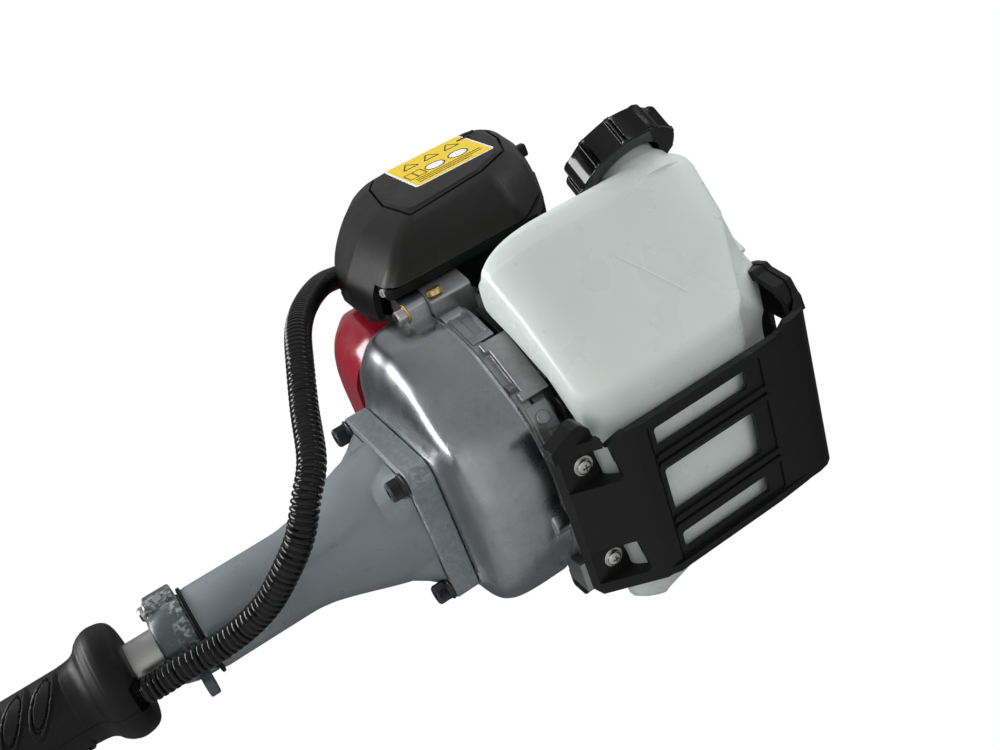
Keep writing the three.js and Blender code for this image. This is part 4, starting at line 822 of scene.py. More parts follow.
piece("inner_wire", sweep(resample([A0 + ax * 22.5, A1 + ax * 4], 1.0), 0.8, 10), M_STEEL, bevel=-1)
piece("adjuster_bracket", join(prism("x", fillet([(40, 76), (52, 76), (52, 93), (40, 93)], 2), 61, 63), box(61, 74, 40, 52, 76, 78)), M_ZINC, bevel=0.5)

OUT = [
    (78, [(25, 40), (23, 70), (28, 104), (46, 121), (140, 121), (150, 104), (149, 72), (136, 44), (116, 22), (35, 22)]),
    (90, [(27, 30), (25, 70), (31, 104), (49, 123), (142, 123), (152, 104), (150, 72), (136, 42), (114, 20), (33, 20)]),
    (102, [(35, 30), (33, 70), (39, 106), (55, 124), (145, 124), (153, 106), (149, 74), (136, 46), (112, 25), (41, 24)]),
    (112, [(46, 36), (43, 70), (49, 106), (61, 123), (146, 123), (152, 106), (147, 78), (137, 54), (112, 37), (50, 32)]),
    (117, [(55, 42), (53, 70), (58, 104), (68, 120), (144, 120), (148, 106), (144, 80), (135, 61), (112, 46), (59, 39)]),
    (120, [(64, 50), (62, 70), (67, 100), (76, 114), (138, 114), (141, 104), (138, 84), (130, 66), (110, 54), (67, 48)])]


def cover_levels(levels, n):
    """Outlines between the given levels, each softened; the corners stay crisp enough to catch the light."""
    flat = []
    for z, p in levels:
        q = fillet(p, [7, 14, 14, 12, 12, 12, 16, 16, 12, 7], 6)
        flat.append([z] + [c for xy in q for c in xy])
    m = min(len(r) for r in flat)
    rows = smooth_table([r[:m] for r in flat], n)
    return [[(r[1 + 2 * i], r[2 + 2 * i], r[0]) for i in range((len(r) - 1) // 2)] for r in rows]


lv = cover_levels(OUT, 34)
top = lv[-1]
cx, cy = sum(p[0] for p in top) / len(top), sum(p[1] for p in top) / len(top)
lv.append([(cx + (p[0] - cx) * 0.985, cy + (p[1] - cy) * 0.985, 120.25) for p in top])
lv[-2] = [(p[0], p[1], 119.8) for p in lv[-2]]
shell_in = [[(90 + (p[0] - 90) * 0.95, 75 + (p[1] - 75) * 0.94, p[2] - 2.6) for p in r] for r in lv[::6] if r[0][2] < 117]
shell_in[0] = [(p[0], p[1], 74) for p in shell_in[0]]
groove_o = fillet([(62, 44), (59, 72), (65, 103), (75, 117.5), (140, 117.5), (144.5, 104), (141, 84), (132.5, 63.5), (111, 51), (66, 44)], 4)
groove_i = fillet([(63.4, 45.4), (60.4, 72), (66.3, 102.4), (75.8, 116.1), (139, 116.1), (143, 104), (139.5, 84.5), (131.5, 64.7), (110.4, 52.4), (67, 45.4)], 4)
gro = cut(prism("z", groove_o, 116.0, 125), prism("z", groove_i, 115, 126))
rise = prism("z", fillet([(20, 8), (170, 8), (170, 60), (128, 46), (40, 40), (20, 38)], 3), 70, 97)
top_panel = csg(loft(lv), ("-", loft(shell_in)), ("-", rise))
top_panel = csg(top_panel, ("-", gro))
piece("cleaner_cover", top_panel, M_CHAR, bevel=0.5, seg=2, limit=50, sharp=50, stands_for="air_cleaner_cover")
for k, (x, y) in enumerate(((134.5, 109.5), (129, 110.5))):
    piece("cover_dash_%d" % (k + 1), prism("z", [(q[0], q[1]) for q in rrect(x, y - k * 5.5, 4.2, 0.9, 0.8)], 119.6, 120.9), M_CHAR, bevel=0.25)
piece("cover_tab", prism("x", fillet([(74.5, 105), (81, 105), (81, 112.2), (75.5, 112.2)], 2.2), 144, 151.4), M_CHAR, bevel=1.0)
piece("cover_edge_strip", cut(prism("z", fillet([(30, 22), (120, 22), (137, 44), (150, 72), (146, 84), (134, 60), (116, 38), (30, 38)], 4), 92, 96.5), prism("z", fillet([(34, 26), (118, 26), (133, 47), (146, 74), (144, 78), (130, 60), (112, 42), (34, 42)], 4), 90, 99)), M_BLACK, bevel=0.4)

# plain yellow sticker: white edge, yellow field, generic shapes
piece("sticker_edge", prism("z", rrect(105.5, 92.0, 25.0, 21.9, 2.4), 120.1, 120.45), M_WHITE, bevel=0)
piece("sticker_field", prism("z", rrect(105.5, 92.0, 23.8, 20.7, 1.8), 120.3, 120.6), M_YELLOW, bevel=0)


def ink(name, outline, hole=None, mat=None, z=(120.5, 120.72)):
    m = prism("z", outline, *z)
    if hole:
        m = cut(m, prism("z", hole, z[0] - 1, z[1] + 1))
    piece(name, m, mat or M_INK, bevel=0)


for k in range(3):
    c = (92 + k * 13.4, 104)
    tri = [(c[0] - 5.4, c[1] - 4.6), (c[0] + 5.4, c[1] - 4.6), (c[0], c[1] + 4.8)]
    trh = [(c[0] - 4.1, c[1] - 3.8), (c[0] + 4.1, c[1] - 3.8), (c[0], c[1] + 3.4)]
    ink("sticker_triangle_%d" % (k + 1), fillet(tri, 0.9, 3), fillet(trh, 0.5, 3))
for k in range(2):
    c = (101 + k * 15.0, 87.5)
    ink("sticker_oval_%d" % (k + 1), [(c[0] + 6.2 * math.cos(t), c[1] + 5.2 * math.sin(t)) for t in [2 * math.pi * i / 40 for i in range(40)]],
        [(c[0] + 5.5 * math.cos(t), c[1] + 4.5 * math.sin(t)) for t in [2 * math.pi * i / 40 for i in range(40)]])
    ink("sticker_pale_%d" % (k + 1), [(c[0] + 5.3 * math.cos(t), c[1] + 4.3 * math.sin(t)) for t in [2 * math.pi * i / 40 for i in range(40)]], None, M_WHITE, (120.5, 120.66))
ink("sticker_box", rrect(88.5, 87.5, 5.4, 5.0, 0.4), rrect(88.5, 87.5, 4.9, 4.5, 0.3))
ink("sticker_box_bar", rrect(88.5, 87.5, 0.35, 4.6, 0.1))
for k in range(3):
    ink("sticker_bar_%d" % (k + 1), rrect(105.5 - (k == 2) * 4, 79.8 - k * 2.6, 20.6 - (k == 2) * 4, 0.34, 0.1))

# choke and oil cap
ch = join(rod((112, 76, 60), (105.2, 76, 60), 3, n=32), prism("x", fillet([(74, 57), (104, 57.6), (104, 62.4), (74, 63)], 2), 109, 112.5))
piece("choke_arm", ch, M_BLACK, body="choke", bevel=0.5, stands_for="choke_lever")
oc = turned((92, -8, 62), (0, 0, 1), [(0, 0), (9, 0), (9, 7.2), (8.2, 8), (0, 8)], 60)
oc = csg(oc, ("+", rod((92, -8, 58.4), (92, -8, 63), 7)), *[("-", rod((92 + 9.9 * math.cos(t), -8 + 9.9 * math.sin(t), 63), (92 + 9.9 * math.cos(t), -8 + 9.9 * math.sin(t), 72), 1.7, n=20)) for t in [2 * math.pi * k / 10 for k in range(10)]], ("-", box(86.5, 97.5, -9, -7, 69, 72)))
piece("oil_cap", oc, M_BLACK, body="oil_cap", bevel=0.4, stands_for="oil_filler_cap")

# ================================================================ starter
vents = []
for k in range(16):
    t = k / 16 * 2 * math.pi
    c, s_ = math.cos(t), math.sin(t)
    vents.append(prism("x", [(r * c - w * s_, r * s_ + w * c) for r, w in fillet([(24, -1.6), (44, -2.8), (44, 2.8), (24, 1.6)], 1.5)], 147, 162))
rec = csg(turned((0, 0, 0), (1, 0, 0), [(0, 158), (30, 158), (34, 157.4), (46, 152.6), (50, 149.6), (53.4, 144), (55, 138), (55, 113.6), (0, 113.6)], 96),
          ("-", turned((0, 0, 0), (1, 0, 0), [(0, 113), (51.5, 113), (51.5, 140), (44, 152), (0, 152)], 64)),
          *[("-", v) for v in vents], ("-", box(126, 140, 12, 24, -70, -30)), ("-", box(100, 123, -60, -47, -60, 60)))
piece("starter_housing", rec, M_BLACK, bevel=0.6, seg=2, limit=40, stands_for="recoil_housing")
piece("starter_badge", turned((158.02, 0, 0), (1, 0, 0), [(0, -0.5), (17, -0.5), (17, 0.5), (16.2, 1.1), (0, 1.2)], 72), M_RED)
for k in range(3):
    t = (k * 120 + 20) * D2R
    parts, head = phillips((119, 58.5 * math.cos(t), 58.5 * math.sin(t)), (1, 0, 0), 3.4, 2.4)
    piece("starter_ear_%d" % (k + 1), rounded_rod((113.9, 56.5 * math.cos(t), 56.5 * math.sin(t)), (119, 56.5 * math.cos(t), 56.5 * math.sin(t)), 6.2, 0.8, 36), M_BLACK)
    screw("starter_screw_%d" % (k + 1), parts, head, M_ZINC)
hd = join(rounded_rod((133, 18, -73.5), (133, 18, -60), 5.6, 1.0), loft([[(133 + q[0] * 20, 18 + q[1], z) for q in []] for z in []]) if False else prism("z", rrect(133, 18, 20, 6, 5, 8), -83, -72))
piece("starter_grip", hd, M_BLACK, body="starter_handle", bevel=2.0, seg=4, limit=40, stands_for="recoil_handle")

# ================================================================ fuel tank and cap
TANK = [(-96, -48), (-96.5, 0), (-96, 60), (-66, 88), (-38, 113), (-27, 119), (-20, 113), (-4, 95), (-3, 84), (-22, 76),
        (-52, 62), (-78, 40), (-78, 0), (-78, -40), (-62, -66), (-68, -80), (-84, -74)]
TANK_LEAN = 29
tank_base = fillet(TANK, [10, 10, 9, 16, 10, 9, 8, 8, 6, 10, 12, 12, 10, 12, 7, 8, 9], 7)


def tank_ring(x, inset):
    out = []
    for y, z in tank_base:
        t = max(0, min(1, (z - 45) / 60))
        cyy, cz = -81 + t * 56, max(-55, min(z, 98))
        d = math.hypot(y - cyy, z - cz) or 1
        q = max(0.12, (d - inset) / d)
        low = max(0, min(1, (-34 - y) / 62))
        lean = max(0, x - 110) / 74 * (TANK_LEAN + 5.5 * max(0.0, min(1.0, (62 - z) / 16)) - 6.0 * max(0.0, 1 - abs(z - 78) / 14)) * low * low
        zz = cz + (z - cz) * q
        if zz < -44:
            zz = -44 + (zz + 44) * (1 - 0.62 * max(0.0, min(1.0, (x - 76) / 46)) ** 0.7)
        out.append((x - lean, cyy + (y - cyy) * q, zz))
    return out


SECT = [(60, 15), (60.8, 12.4), (63, 9.6), (66, 7.0), (69, 5.2), (74, 3.0), (80, 1.5), (88, 0.4), (95, 0), (124, 0), (152, 0), (161, 0.6), (169, 2), (175, 4.4), (179, 7), (182.4, 10.2), (184, 14)]
tb = loft([tank_ring(x, i) for x, i in smooth_table(SECT, 80)])
a, q = Vector((0, .753, .658)).normalized(), Vector((159.5, -12, 107.5))
neck = turned(q, a, [(0, -14), (22, -14), (20, -9), (18.6, -3), (17.4, -1), (15.5, 1.6), (15.5, 14), (0, 14)], 72)
tank = csg(tb, ("+", neck), ("-", rod(q - a * 9, q + a * 15, 12.5, n=48)), ("-", box(179.2, 190, -96, -59, -50, 70)))
tank_obj = piece("tank_shell", tank, M_TANK, bevel=0.9, seg=3, limit=50, sharp=60, stands_for="fuel_tank")
# faint mould line across the sloped side of the tank, running down to the crease; the ridge is real, and its pale
# colour is a painted highlight along it
nrm = Vector((0, -0.738, 0.675))


def on_tank(x, k):
    """Point on the sloped side: k is 0 at the lower edge and 1 at the upper one."""
    return Vector((x, -66 + k * 28, 88 + k * 25)) if k >= 0 else Vector((x, -66 + k * 30, 88 + k * 28))


ml = [on_tank(x, k) + nrm * 0.05 for x, k in zip(np.linspace(113.5, 132, 30), np.linspace(0.34, -0.48, 30))]
piece("tank_mould_line", sweep(ml, 0.22, 8), M_MOULD_LINE_HIGHLIGHT, bevel=-1)

CAP_R, CAP_H, NR = 26.9, 18.4, 10
e1 = Vector((1, 0, 0))
e2 = a.cross(e1)


def cap_outline(f):
    out = []
    for k in range(NR):
        for j in range(24):
            u = j / 24
            w = u * (1.0)
            # two thin ribs, then a shallow concave panel
            if w < 0.045 or 0.095 < w < 0.14:
                r = CAP_R + 1.5 * f
            elif w <= 0.095:
                r = CAP_R + 0.35 * f
            else:
                s_ = (w - 0.14) / 0.86
                r = CAP_R - (0.7 + 2.0 * math.sin(math.pi * s_) ** 0.8) * f
            t = (k + u) / NR * 2 * math.pi
            out.append((r * math.cos(t), r * math.sin(t)))
    return out


def cap_ring(h, r_scale, f, add=0.0):
    c = q + a * h
    out = []
    for x, y in cap_outline(f):
        l = math.hypot(x, y)
        m = (l * r_scale + add) / l
        out.append(c + e1 * (x * m) + e2 * (y * m))
    return out


caps = [cap_ring(2.5, 1.02, 0.2, 1.1), cap_ring(3.6, 1.02, 0.2, 1.3), cap_ring(4.4, 1.0, 0.9, 0.9), cap_ring(5.0, 1, 1, 0.1), cap_ring(8, 1, 1), cap_ring(12, 1, 1), cap_ring(17.4, 1, 1),
        cap_ring(18.9, 0.99, 0.9), cap_ring(20.0, 0.965, 0.6), cap_ring(20.6, 0.93, 0.3), cap_ring(20.8, 0.86, 0.0)]
cap = cut(loft(caps), rod(q + a * 2, q + a * 16, 18.5, n=60), turned(q, a, [(0, 19.4), (18.5, 19.4), (19.6, 22), (0, 22)], 60))
piece("fuel_cap", cap, M_GLOSS, body="fuel_cap", bevel=0.25, seg=2, limit=42, sharp=42, stands_for="tank_cap")
# ================================================================ tank guard
prof = [(70, -101.8), (74, -102), (168, -102), (174, -100.9), (178, -98.3), (180.6, -94.5), (182.6, -88), (182.6, -60), (179.6, -60), (179.6, -87), (178.2, -92), (175.6, -95.6), (172, -98.2),
        (168, -99), (74, -99), (70.5, -98.9), (45, -85), (43.5, -80), (40.5, -80), (42, -87)]
gd = prism("z", prof, -44, 44)
tools = []
for z0, z1 in ((26, 36), (-12.5, 12.5), (-36, -26)):
    tools.append(("-", prism("y", [(z, x) for z, x in rrect((z0 + z1) / 2, 110.5, (z1 - z0) / 2, 26.5, 1.6)], -110, -90)))
    # sunk ledge round each slot
    tools.append(("-", prism("y", [(z, x) for z, x in rrect((z0 + z1) / 2, 110.5, (z1 - z0) / 2 + 2.0, 28.6, 2.4)], -110, -101.0)))
tools.append(("-", prism("y", [(45, 60), (38, 60), (48, 75), (60, 75), (60, 40)], -120, -50)))
for zc in (28, -28):
    tools.append(("-", prism("y", fillet([(zc - 9.5, 40), (zc + 10.5, 40), (zc + 10.5, 62.6), (zc - 6.8, 64.6), (zc - 9.5, 63)], 1.4), -110, -86.5)))
    tools.append(("-", prism("y", fillet([(zc + 1.4, 59.8), (zc - 2.2, 69.2), (zc - 17, 68.8)], 0.8), -96, -80)))
# the slotted field is sunk, with ribs between the slots
tools.append(("-", prism("y", rrect(0, 113.5, 39.6, 32.5, 2.2), -110, -101.0)))
tools.append(("-", prism("y", rrect(0, 80.4, 40.5, 0.5, 0.3), -110, -101.3)))
gd = csg(gd, *tools)
adds = []
for zc in (28, -28):
    adds.append(("+", cut(prism("y", [(zc - 12, 43), (zc + 11.5, 43), (zc + 11.5, 59.7), (zc + 1.4, 59.7), (zc - 5, 60.6), (zc - 12, 61)], -86.5, -84), rod((53, -90, zc), (53, -80, zc), 2.9, n=24))))
    adds.append(("+", prism("z", [(43, -84), (43, -86.6), (57, -93.6), (64, -96.8), (66.4, -97.6), (66.4, -93), (62, -89), (60, -84)], zc - 12, zc - 9.4)))
    adds.append(("+", prism("z", [(43, -84), (43, -86.6), (57, -93.6), (61, -95.6), (61, -88), (59.5, -84)], zc + 10.5, zc + 13)))
for zr in (16.2, 21.0, -16.2, -21.0):
    adds.append(("+", loft([[(x, y, z) for z, x in rrect(zr, 115, w_, 33.5 - i_, w_ * 0.9)] for y, w_, i_ in ((-100.2, 1.7, 0), (-102.3, 1.5, 0.2), (-102.75, 1.0, 0.8))])))
corner = [(158, -102), (168, -102), (174, -100.9), (178, -98.3), (180.6, -94.5), (182.6, -88), (182.6, -60), (179.6, -60), (179.6, -87), (178.2, -92), (175.6, -95.6), (172, -98.2), (168, -99), (158, -99)]
arm = cut(prism("z", corner, 43, 63), prism("x", fillet([(-110, 44.5), (-99, 48), (-95.5, 51), (-88, 57.5), (-76, 60), (-73, 62), (-66, 60.5), (-58, 57), (-50, 57), (-50, 70), (-110, 70)], [0, 3, 3, 3, 2, 2, 3, 3, 0, 0, 0]), 150, 190),
          prism("y", [(43, 150), (44.5, 160), (58, 176.5), (64, 176.5), (64, 150)], -110, -86))
adds.append(("+", arm))
# return flange round the arm, on the side towards the tank
fo = fillet([(-58, 43.5), (-58, 56), (-66, 59.8), (-73, 61.4), (-76, 59.4), (-87.5, 56.8), (-94.4, 50.6), (-96, 43.5)], [0, 3, 3, 2, 2, 3, 3, 0])
fi = fillet([(-58, 43), (-58, 52.5), (-66, 55.6), (-75, 56.4), (-86, 53.2), (-91, 48.4), (-91.6, 43)], [0, 3, 3, 3, 3, 3, 0])
adds.append(("+", cut(prism("x", fo, 172.6, 181.5), prism("x", [(u_ + (0.4 if u_ == -58 else 0), s_) for u_, s_ in fi] , 170, 190))))
for z0, z1 in ((40.0, 44), (-44, -40.0)):
    adds.append(("+", prism("z", [(70, -101.0), (77, -103.4), (140, -103.4), (158, -102.4), (168, -101.4), (168, -100), (74, -100), (70, -99.4)], z0, z1)))
# visor over the upper screw pocket
vo = fillet([(40, 38), (46.2, 37.9), (51.8, 50.0), (52.4, 54.6), (48, 58.6), (40, 59.6), (38, 56)], [0.5, 1.2, 2, 2.5, 2, 1, 0.5])
vi = fillet([(38, 41), (44.4, 40.6), (49.2, 50.6), (49.4, 53.4), (46, 56.2), (38, 57)], [0.5, 1, 1.5, 2, 1.5, 0.5])
adds.append(("+", cut(prism("y", vo, -91.4, -83), prism("y", vi, -89.6, -80))))
gd = csg(gd, *adds)
win = fillet([(-70.5, 22), (-70.5, 34), (-80, 33), (-82.5, 28)], 1.2)
gd = csg(gd, ("-", prism("x", win, 175, 190)))
piece("guard", gd, M_BLACK, bevel=0.7, seg=3, limit=35, stands_for="tank_guard")
for k, zc in ((1, 28), (2, -28)):
    parts, head = phillips((53, -86.6, zc), (0, -1, 0), 3.9, 2.4, washer=5.1)
    head = join(head, rod((53, -87, zc), (53, -67, zc), 2.5, n=20))
    screw("pocket_screw_%d" % k, parts, head, M_ZINC, stands_for="guard_screw_%d" % k)

# ================================================================ adapter, clamp, pole
fl = loft([[(x, y, z) for y, z in rrect(0, 0, 40.5 - i, 40.5 - i, 8 - i * 0.5, 10)] for x, i in ((-13, 1.2), (-12.5, 0.4), (-11.8, 0), (-0.9, 0), (-0.3, 0.3), (0, 0.9))])
cone_tab = smooth_table([(-123, 21.2), (-122.4, 21.5), (-100, 21.5), (-75, 21.6), (-66, 22.6), (-58, 24.6), (-48, 27.8), (-38, 31.2), (-28, 34.4), (-20, 36.6), (-14, 38), (-12, 38.2)], 60)
cone = turned((0, 0, 0), (1, 0, 0), [(0, -123)] + [(r, h) for h, r in cone_tab] + [(0, -12)], 96)
bore = turned((0, 0, 0), (1, 0, 0), [(0, -124), (13.3, -124), (13.3, -62), (11, -61), (11, -56), (15.5, -55.5), (15.5, -40), (22, -36), (34.5, -20), (34.5, 1), (0, 1)], 64)
tools = [("+", cone)]
# fairing between the tube and the flange corners, added once, all round the axis
for sgn in (1, -1):
    tools.append(("+", loft([[(x, y * w + 0, z) for y, z in rrect(0, 0, h, h * 0.98, r, 8)] for x, h, r, w in ((-13.5, 36.5, 14, 1), (-20, 34.0, 20, 1), (-30, 31, 26, 1), (-40, 28, 26, 1))]))) if sgn == 1 else None
tools.append(("-", bore))
for i, j in ((1, 1), (-1, 1), (-1, -1), (1, -1)):
    tools.append(("-", rod((-14, i * 33.5, j * 33.5), (1, i * 33.5, j * 33.5), 3.4, n=24)))
    tools.append(("-", rounded_rod((-46, i * 33.5, j * 33.5), (-13, i * 33.5, j * 33.5), 7.2, 1.5, 40)))
for s_ in ((-112, -94, -25, -19, 6, 10), (-108, -90, -25, -19, -10, -6), (-100, -96, -25, -19, -10, 2)):
    tools.append(("-", box(*s_)))
ad = csg(fl, *[t for t in tools if t])
piece("adapter", ad, M_GREY, bevel=0.5, seg=2, limit=40, stands_for="adapter_housing")
piece("adapter_slot_liner", cut(rod((-116, 0, 0), (-86, 0, 0), 17.6, n=64), rod((-117, 0, 0), (-85, 0, 0), 16.4, n=64)), M_BLACK, bevel=0)
parts, head = socket_screw((-119, -21.3, -4.5), (0, -1, -0.2), 2.4, 1.6, 1.2)
screw("adapter_grub", parts, head, M_OXIDE)
iso = turned((0, 0, 0), (1, 0, 0), [(13.35, -125), (22.4, -125), (23, -124.7), (23, -124.35), (22.0, -124.15), (23, -123.95), (23, -123.6), (22.4, -123.3), (13.35, -123.3)], 80)
piece("isolator", iso, M_RUBBER, stands_for="isolator_ring")

ring = turned((0, 0, 0), (1, 0, 0), [(0, -143), (16.9, -143), (17.5, -142.6), (18.5, -141), (20, -136), (20.5, -130), (20.6, -126), (20, -125.3), (0, -125.3)], 80)
ear = join(rounded_rod((-141, 19, 10), (-127, 19, 10), 8.5, 1.2), prism("x", fillet([(4, 6), (19, 1.5), (20, 18), (6, 22)], 2), -141, -127))
lug = cut(join(rounded_rod((-134.4, -20, -14), (-129.6, -20, -14), 6.6, 0.8), box(-134, -130, -20, -8, -16, -4)), rod((-140, -20, -14), (-120, -20, -14), 2.6, n=28))
cl = csg(join(ring, ear, lug), ("-", rod((-150, 0, 0), (-120, 0, 0), 13.3, n=72)), ("-", prism("x", [(10, 10), (30, 12), (30, 14), (8, 12)], -150, -120)), ("-", rod((-134, 30, -4), (-134, 8, 26), 2.9, n=24)))
piece("clamp", cl, M_CLAMP, bevel=0.6, seg=2, limit=38, stands_for="pole_clamp")
d = Vector((0, 22, -30)).normalized()
parts, head = socket_screw(Vector((-134, 19, 10)) + d * 8.6, d, 3.9, 4.0, 2.0, washer=5.0, washer_t=1.0)
screw("clamp_screw", parts, head, M_ZINC)
piece("clamp_screw_end", turned(Vector((-134, 19, 10)) - d * 8.0, -d, [(0, 0), (2.4, 0), (2.4, 4.0), (1.9, 4.6), (0, 4.6)], 28), M_ZINC)
parts, head = socket_screw((-141.1, 19.5, 11.5), (-1, 0, 0), 3.8, 3.2, 2.0, washer=4.8, washer_t=0.8)
screw("clamp_side_screw", parts, head, M_ZINC)

piece("pole", cut(rod((-1358, 0, 0), (-62.5, 0, 0), 13, n=96), rod((-1400, 0, 0), (-60, 0, 0), 11.5, n=64)), M_TUBE, bevel=0, stands_for="pole_tube")

# ================================================================ conduit
CON = [(45, 136.5, 67.5), (38.8, 130.5, 70.3), (31.6, 122, 74.6), (23, 110, 80), (13.4, 92, 86.3), (2.9, 72, 91.6), (-7.4, 51, 95.6), (-17, 29, 97.4), (-25.5, 9, 93.5),
       (-36, -12, 83), (-47, -38, 73), (-58, -49, 64), (-68, -52, 51), (-80, -50, 38), (-93, -45, 25), (-107, -39, 16), (-121, -34, 11), (-136, -29, 8), (-147, -25.5, 5.2), (-156.6, -23.5, 4)]
path = resample(catmull(CON, 24), 0.42)
PITCH = 3.05


def corrugation(s):
    f = (s / PITCH) % 1.0
    # flat crest, narrow valley
    if f < 0.56:
        return 6.55 + 0.12 * math.sin(math.pi * f / 0.56)
    g_ = (f - 0.56) / 0.44
    return 6.55 - 0.95 * math.sin(math.pi * g_) ** 0.7


piece("conduit", sweep(path, corrugation, 28), M_CONDUIT, bevel=-1, wn=False, sharp=70, stands_for="throttle_conduit")
piece("conduit_neck", rounded_rod((49, 138.6, 65.6), (41.5, 133.6, 69.0), 7.4, 1.2, 40), M_BLACK)
lead = resample(catmull([(46, 137, 66.8), (54, 139.5, 63.5), (64, 136, 61.5), (74, 124, 61), (82, 112, 60.5), (90, 101, 57)], 12), 1.2)
piece("throttle_lead", sweep(lead, 2.4, 16), M_RUBBER, bevel=-1)

# ================================================================ grip
GP = [(-352, 14.0), (-351.6, 19.6), (-351, 20.4), (-346, 23), (-300, 23.2), (-262, 23), (-255, 22.2), (-248, 21), (-236, 19.9), (-210, 19.9), (-186, 19.9), (-181, 20.4),
      (-178.4, 21.4), (-176.4, 23.2), (-175, 25.0), (-173, 26.6), (-170, 28.1), (-167, 28.6), (-164, 28.3), (-161, 27.4), (-158.8, 25.6), (-157.6, 22.6), (-157.3, 19.0)]


def pad_height(x, ang):
    """Leaf-shaped raised pads with a double groove, in a row along the handle. ang in degrees from -y towards +z."""
    h = 0.0
    for side in (62, -62):
        da = ((ang - side + 180) % 360) - 180
        arc = da * D2R * 20
        for k in range(4):
            xc = -196 - k * 13.5
            dx = (x - xc) - arc * 0.55
            e = math.hypot(dx / 5.6, arc / 15.0)
            if e < 1.25:
                if e < 0.62:
                    h = max(h, 1.15)
                elif e < 0.74:
                    h = max(h, 0.2)
                elif e < 0.94:
                    h = max(h, 1.15)
                elif e < 1.04:
                    h = max(h, 1.15 * (1.04 - e) / 0.10)
    return h


def grip_mesh():
    rows = smooth_table(GP, 420)
    n = 200
    verts, faces = [], []
    for x, r in rows:
        for i in range(n):
            t = 2 * math.pi * i / n
            ang = t / D2R
            rr = r
            if -262 < x < -186:
                rr += pad_height(x, ang) - 0.15
            # shallow creases in the collar's inner flank
            if -180 < x < -168:
                rr -= 0.28 * max(0.0, math.cos((x + 180) / 3.0 * 2 * math.pi)) ** 6
            verts.append((x, -rr * math.cos(t), rr * math.sin(t)))
    m = len(rows)
    for k in range(m - 1):
        for i in range(n):
            j = (i + 1) % n
            faces.append((k * n + i, k * n + j, (k + 1) * n + j, (k + 1) * n + i))
    faces.append(tuple(range(n)))
    faces.append(tuple((m - 1) * n + i for i in range(n)))
    return mesh(verts, faces)


grip = csg(grip_mesh(), ("+", prism("x", rrect(-18, 0, 14, 12, 5), -346, -262)), ("-", rod((-360, 0, 0), (-150, 0, 0), 13.3, n=72)), ("-", rod((-162, -23, 4), (-150, -23, 4), 7.6, n=32)),
           ("-", box(-336.5, -274, -40, -13.8, -6, 6)), ("-", box(-313.5, -283.6, 13.8, 30, -5, 5)), ("-", box(-341, -327, 13.8, 30, -5, 5)))
gl = csg(grip, ("-", box(-400, -100, -60, 60, -60, 0.15)))
gr = csg(grip, ("-", box(-400, -100, -60, 60, -0.15, 60)))
piece("grip_shell_left", gl, M_RUBBER, bevel=0, sharp=40, wn=False, stands_for="grip_left")
piece("grip_shell_right", gr, M_RUBBER, bevel=0, sharp=40, wn=False, stands_for="grip_right")
for k, (x, y) in enumerate(((-345, -24), (-268, -25), (-346, 16), (-256, 15.5))):
    parts, head = phillips((x, y, 11.8 if y < 0 else 14.2), (0, 0, 1), 3.0, 1.8)
    screw("grip_screw_%d" % (k + 1), parts, head, M_ZINC)
trig = prism("z", fillet([(-330, -27.5), (-276, -14.6), (-276, -24), (-284, -31), (-300, -42), (-318, -52), (-327, -50), (-330, -40)], [2, 4, 5, 14, 30, 5, 5, 4], 6), -5.6, 5.6)
piece("trigger_lever", trig, M_BLACK, body="trigger", bevel=1.4, seg=4, limit=40, stands_for="throttle_trigger")
lk = prism("z", fillet([(-311, 19), (-285, 14.2), (-285, 24), (-292, 30), (-305, 33), (-311, 29)], 3), -4.6, 4.6)
piece("lockout_paddle", lk, M_BLACK, body="lockout", bevel=1.0, seg=3, limit=40, stands_for="lockout_lever")
sw = prism("z", fillet([(-340.4, 14.2), (-332, 14.2), (-332, 27), (-336, 28.5), (-340.4, 27)], 1), -4.6, 4.6)
piece("stop_button", sw, M_REDSW, body="switch", bevel=0.7, seg=3, stands_for="stop_switch")

# ================================================================ front handle
L = -760
hp = catmull([(L, 34, -40), (L, 34, 0), (L, 34, 40), (L, 38, 72), (L, 60, 118), (L, 120, 158), (L, 175, 130), (L, 192, 60), (L, 194, 0),
              (L, 192, -60), (L, 175, -130), (L, 120, -158), (L, 60, -118), (L, 38, -72)], 14, True)
piece("loop_handle", sweep(hp, 11, 36, True), M_RUBBER, bevel=-1, wn=False, sharp=70, stands_for="front_handle")
hc = csg(prism("x", rrect(12, 0, 36, 20, 7), L - 20, L + 20), ("-", rod((L - 30, 0, 0), (L + 30, 0, 0), 13.3, n=64)), ("-", rod((L, 34, -30), (L, 34, 30), 12.6, n=48)), ("-", box(L - 30, L + 30, -1, 1, 10, 30)), ("-", box(L - 30, L + 30, -1, 1, -30, -10)))
piece("loop_clamp", hc, M_BLACK, bevel=1.6, seg=3, limit=40, stands_for="handle_clamp")
for k, (i, j) in enumerate(((1, 1), (1, -1), (-1, 1), (-1, -1))):
    parts, head = socket_screw((L + 12 * i, -24, 15.5 * j * 0.98), (0, -1, 0), 4.0, 3.4, 2.0)
    screw("loop_clamp_screw_%d" % (k + 1), parts, head, M_ZINC)

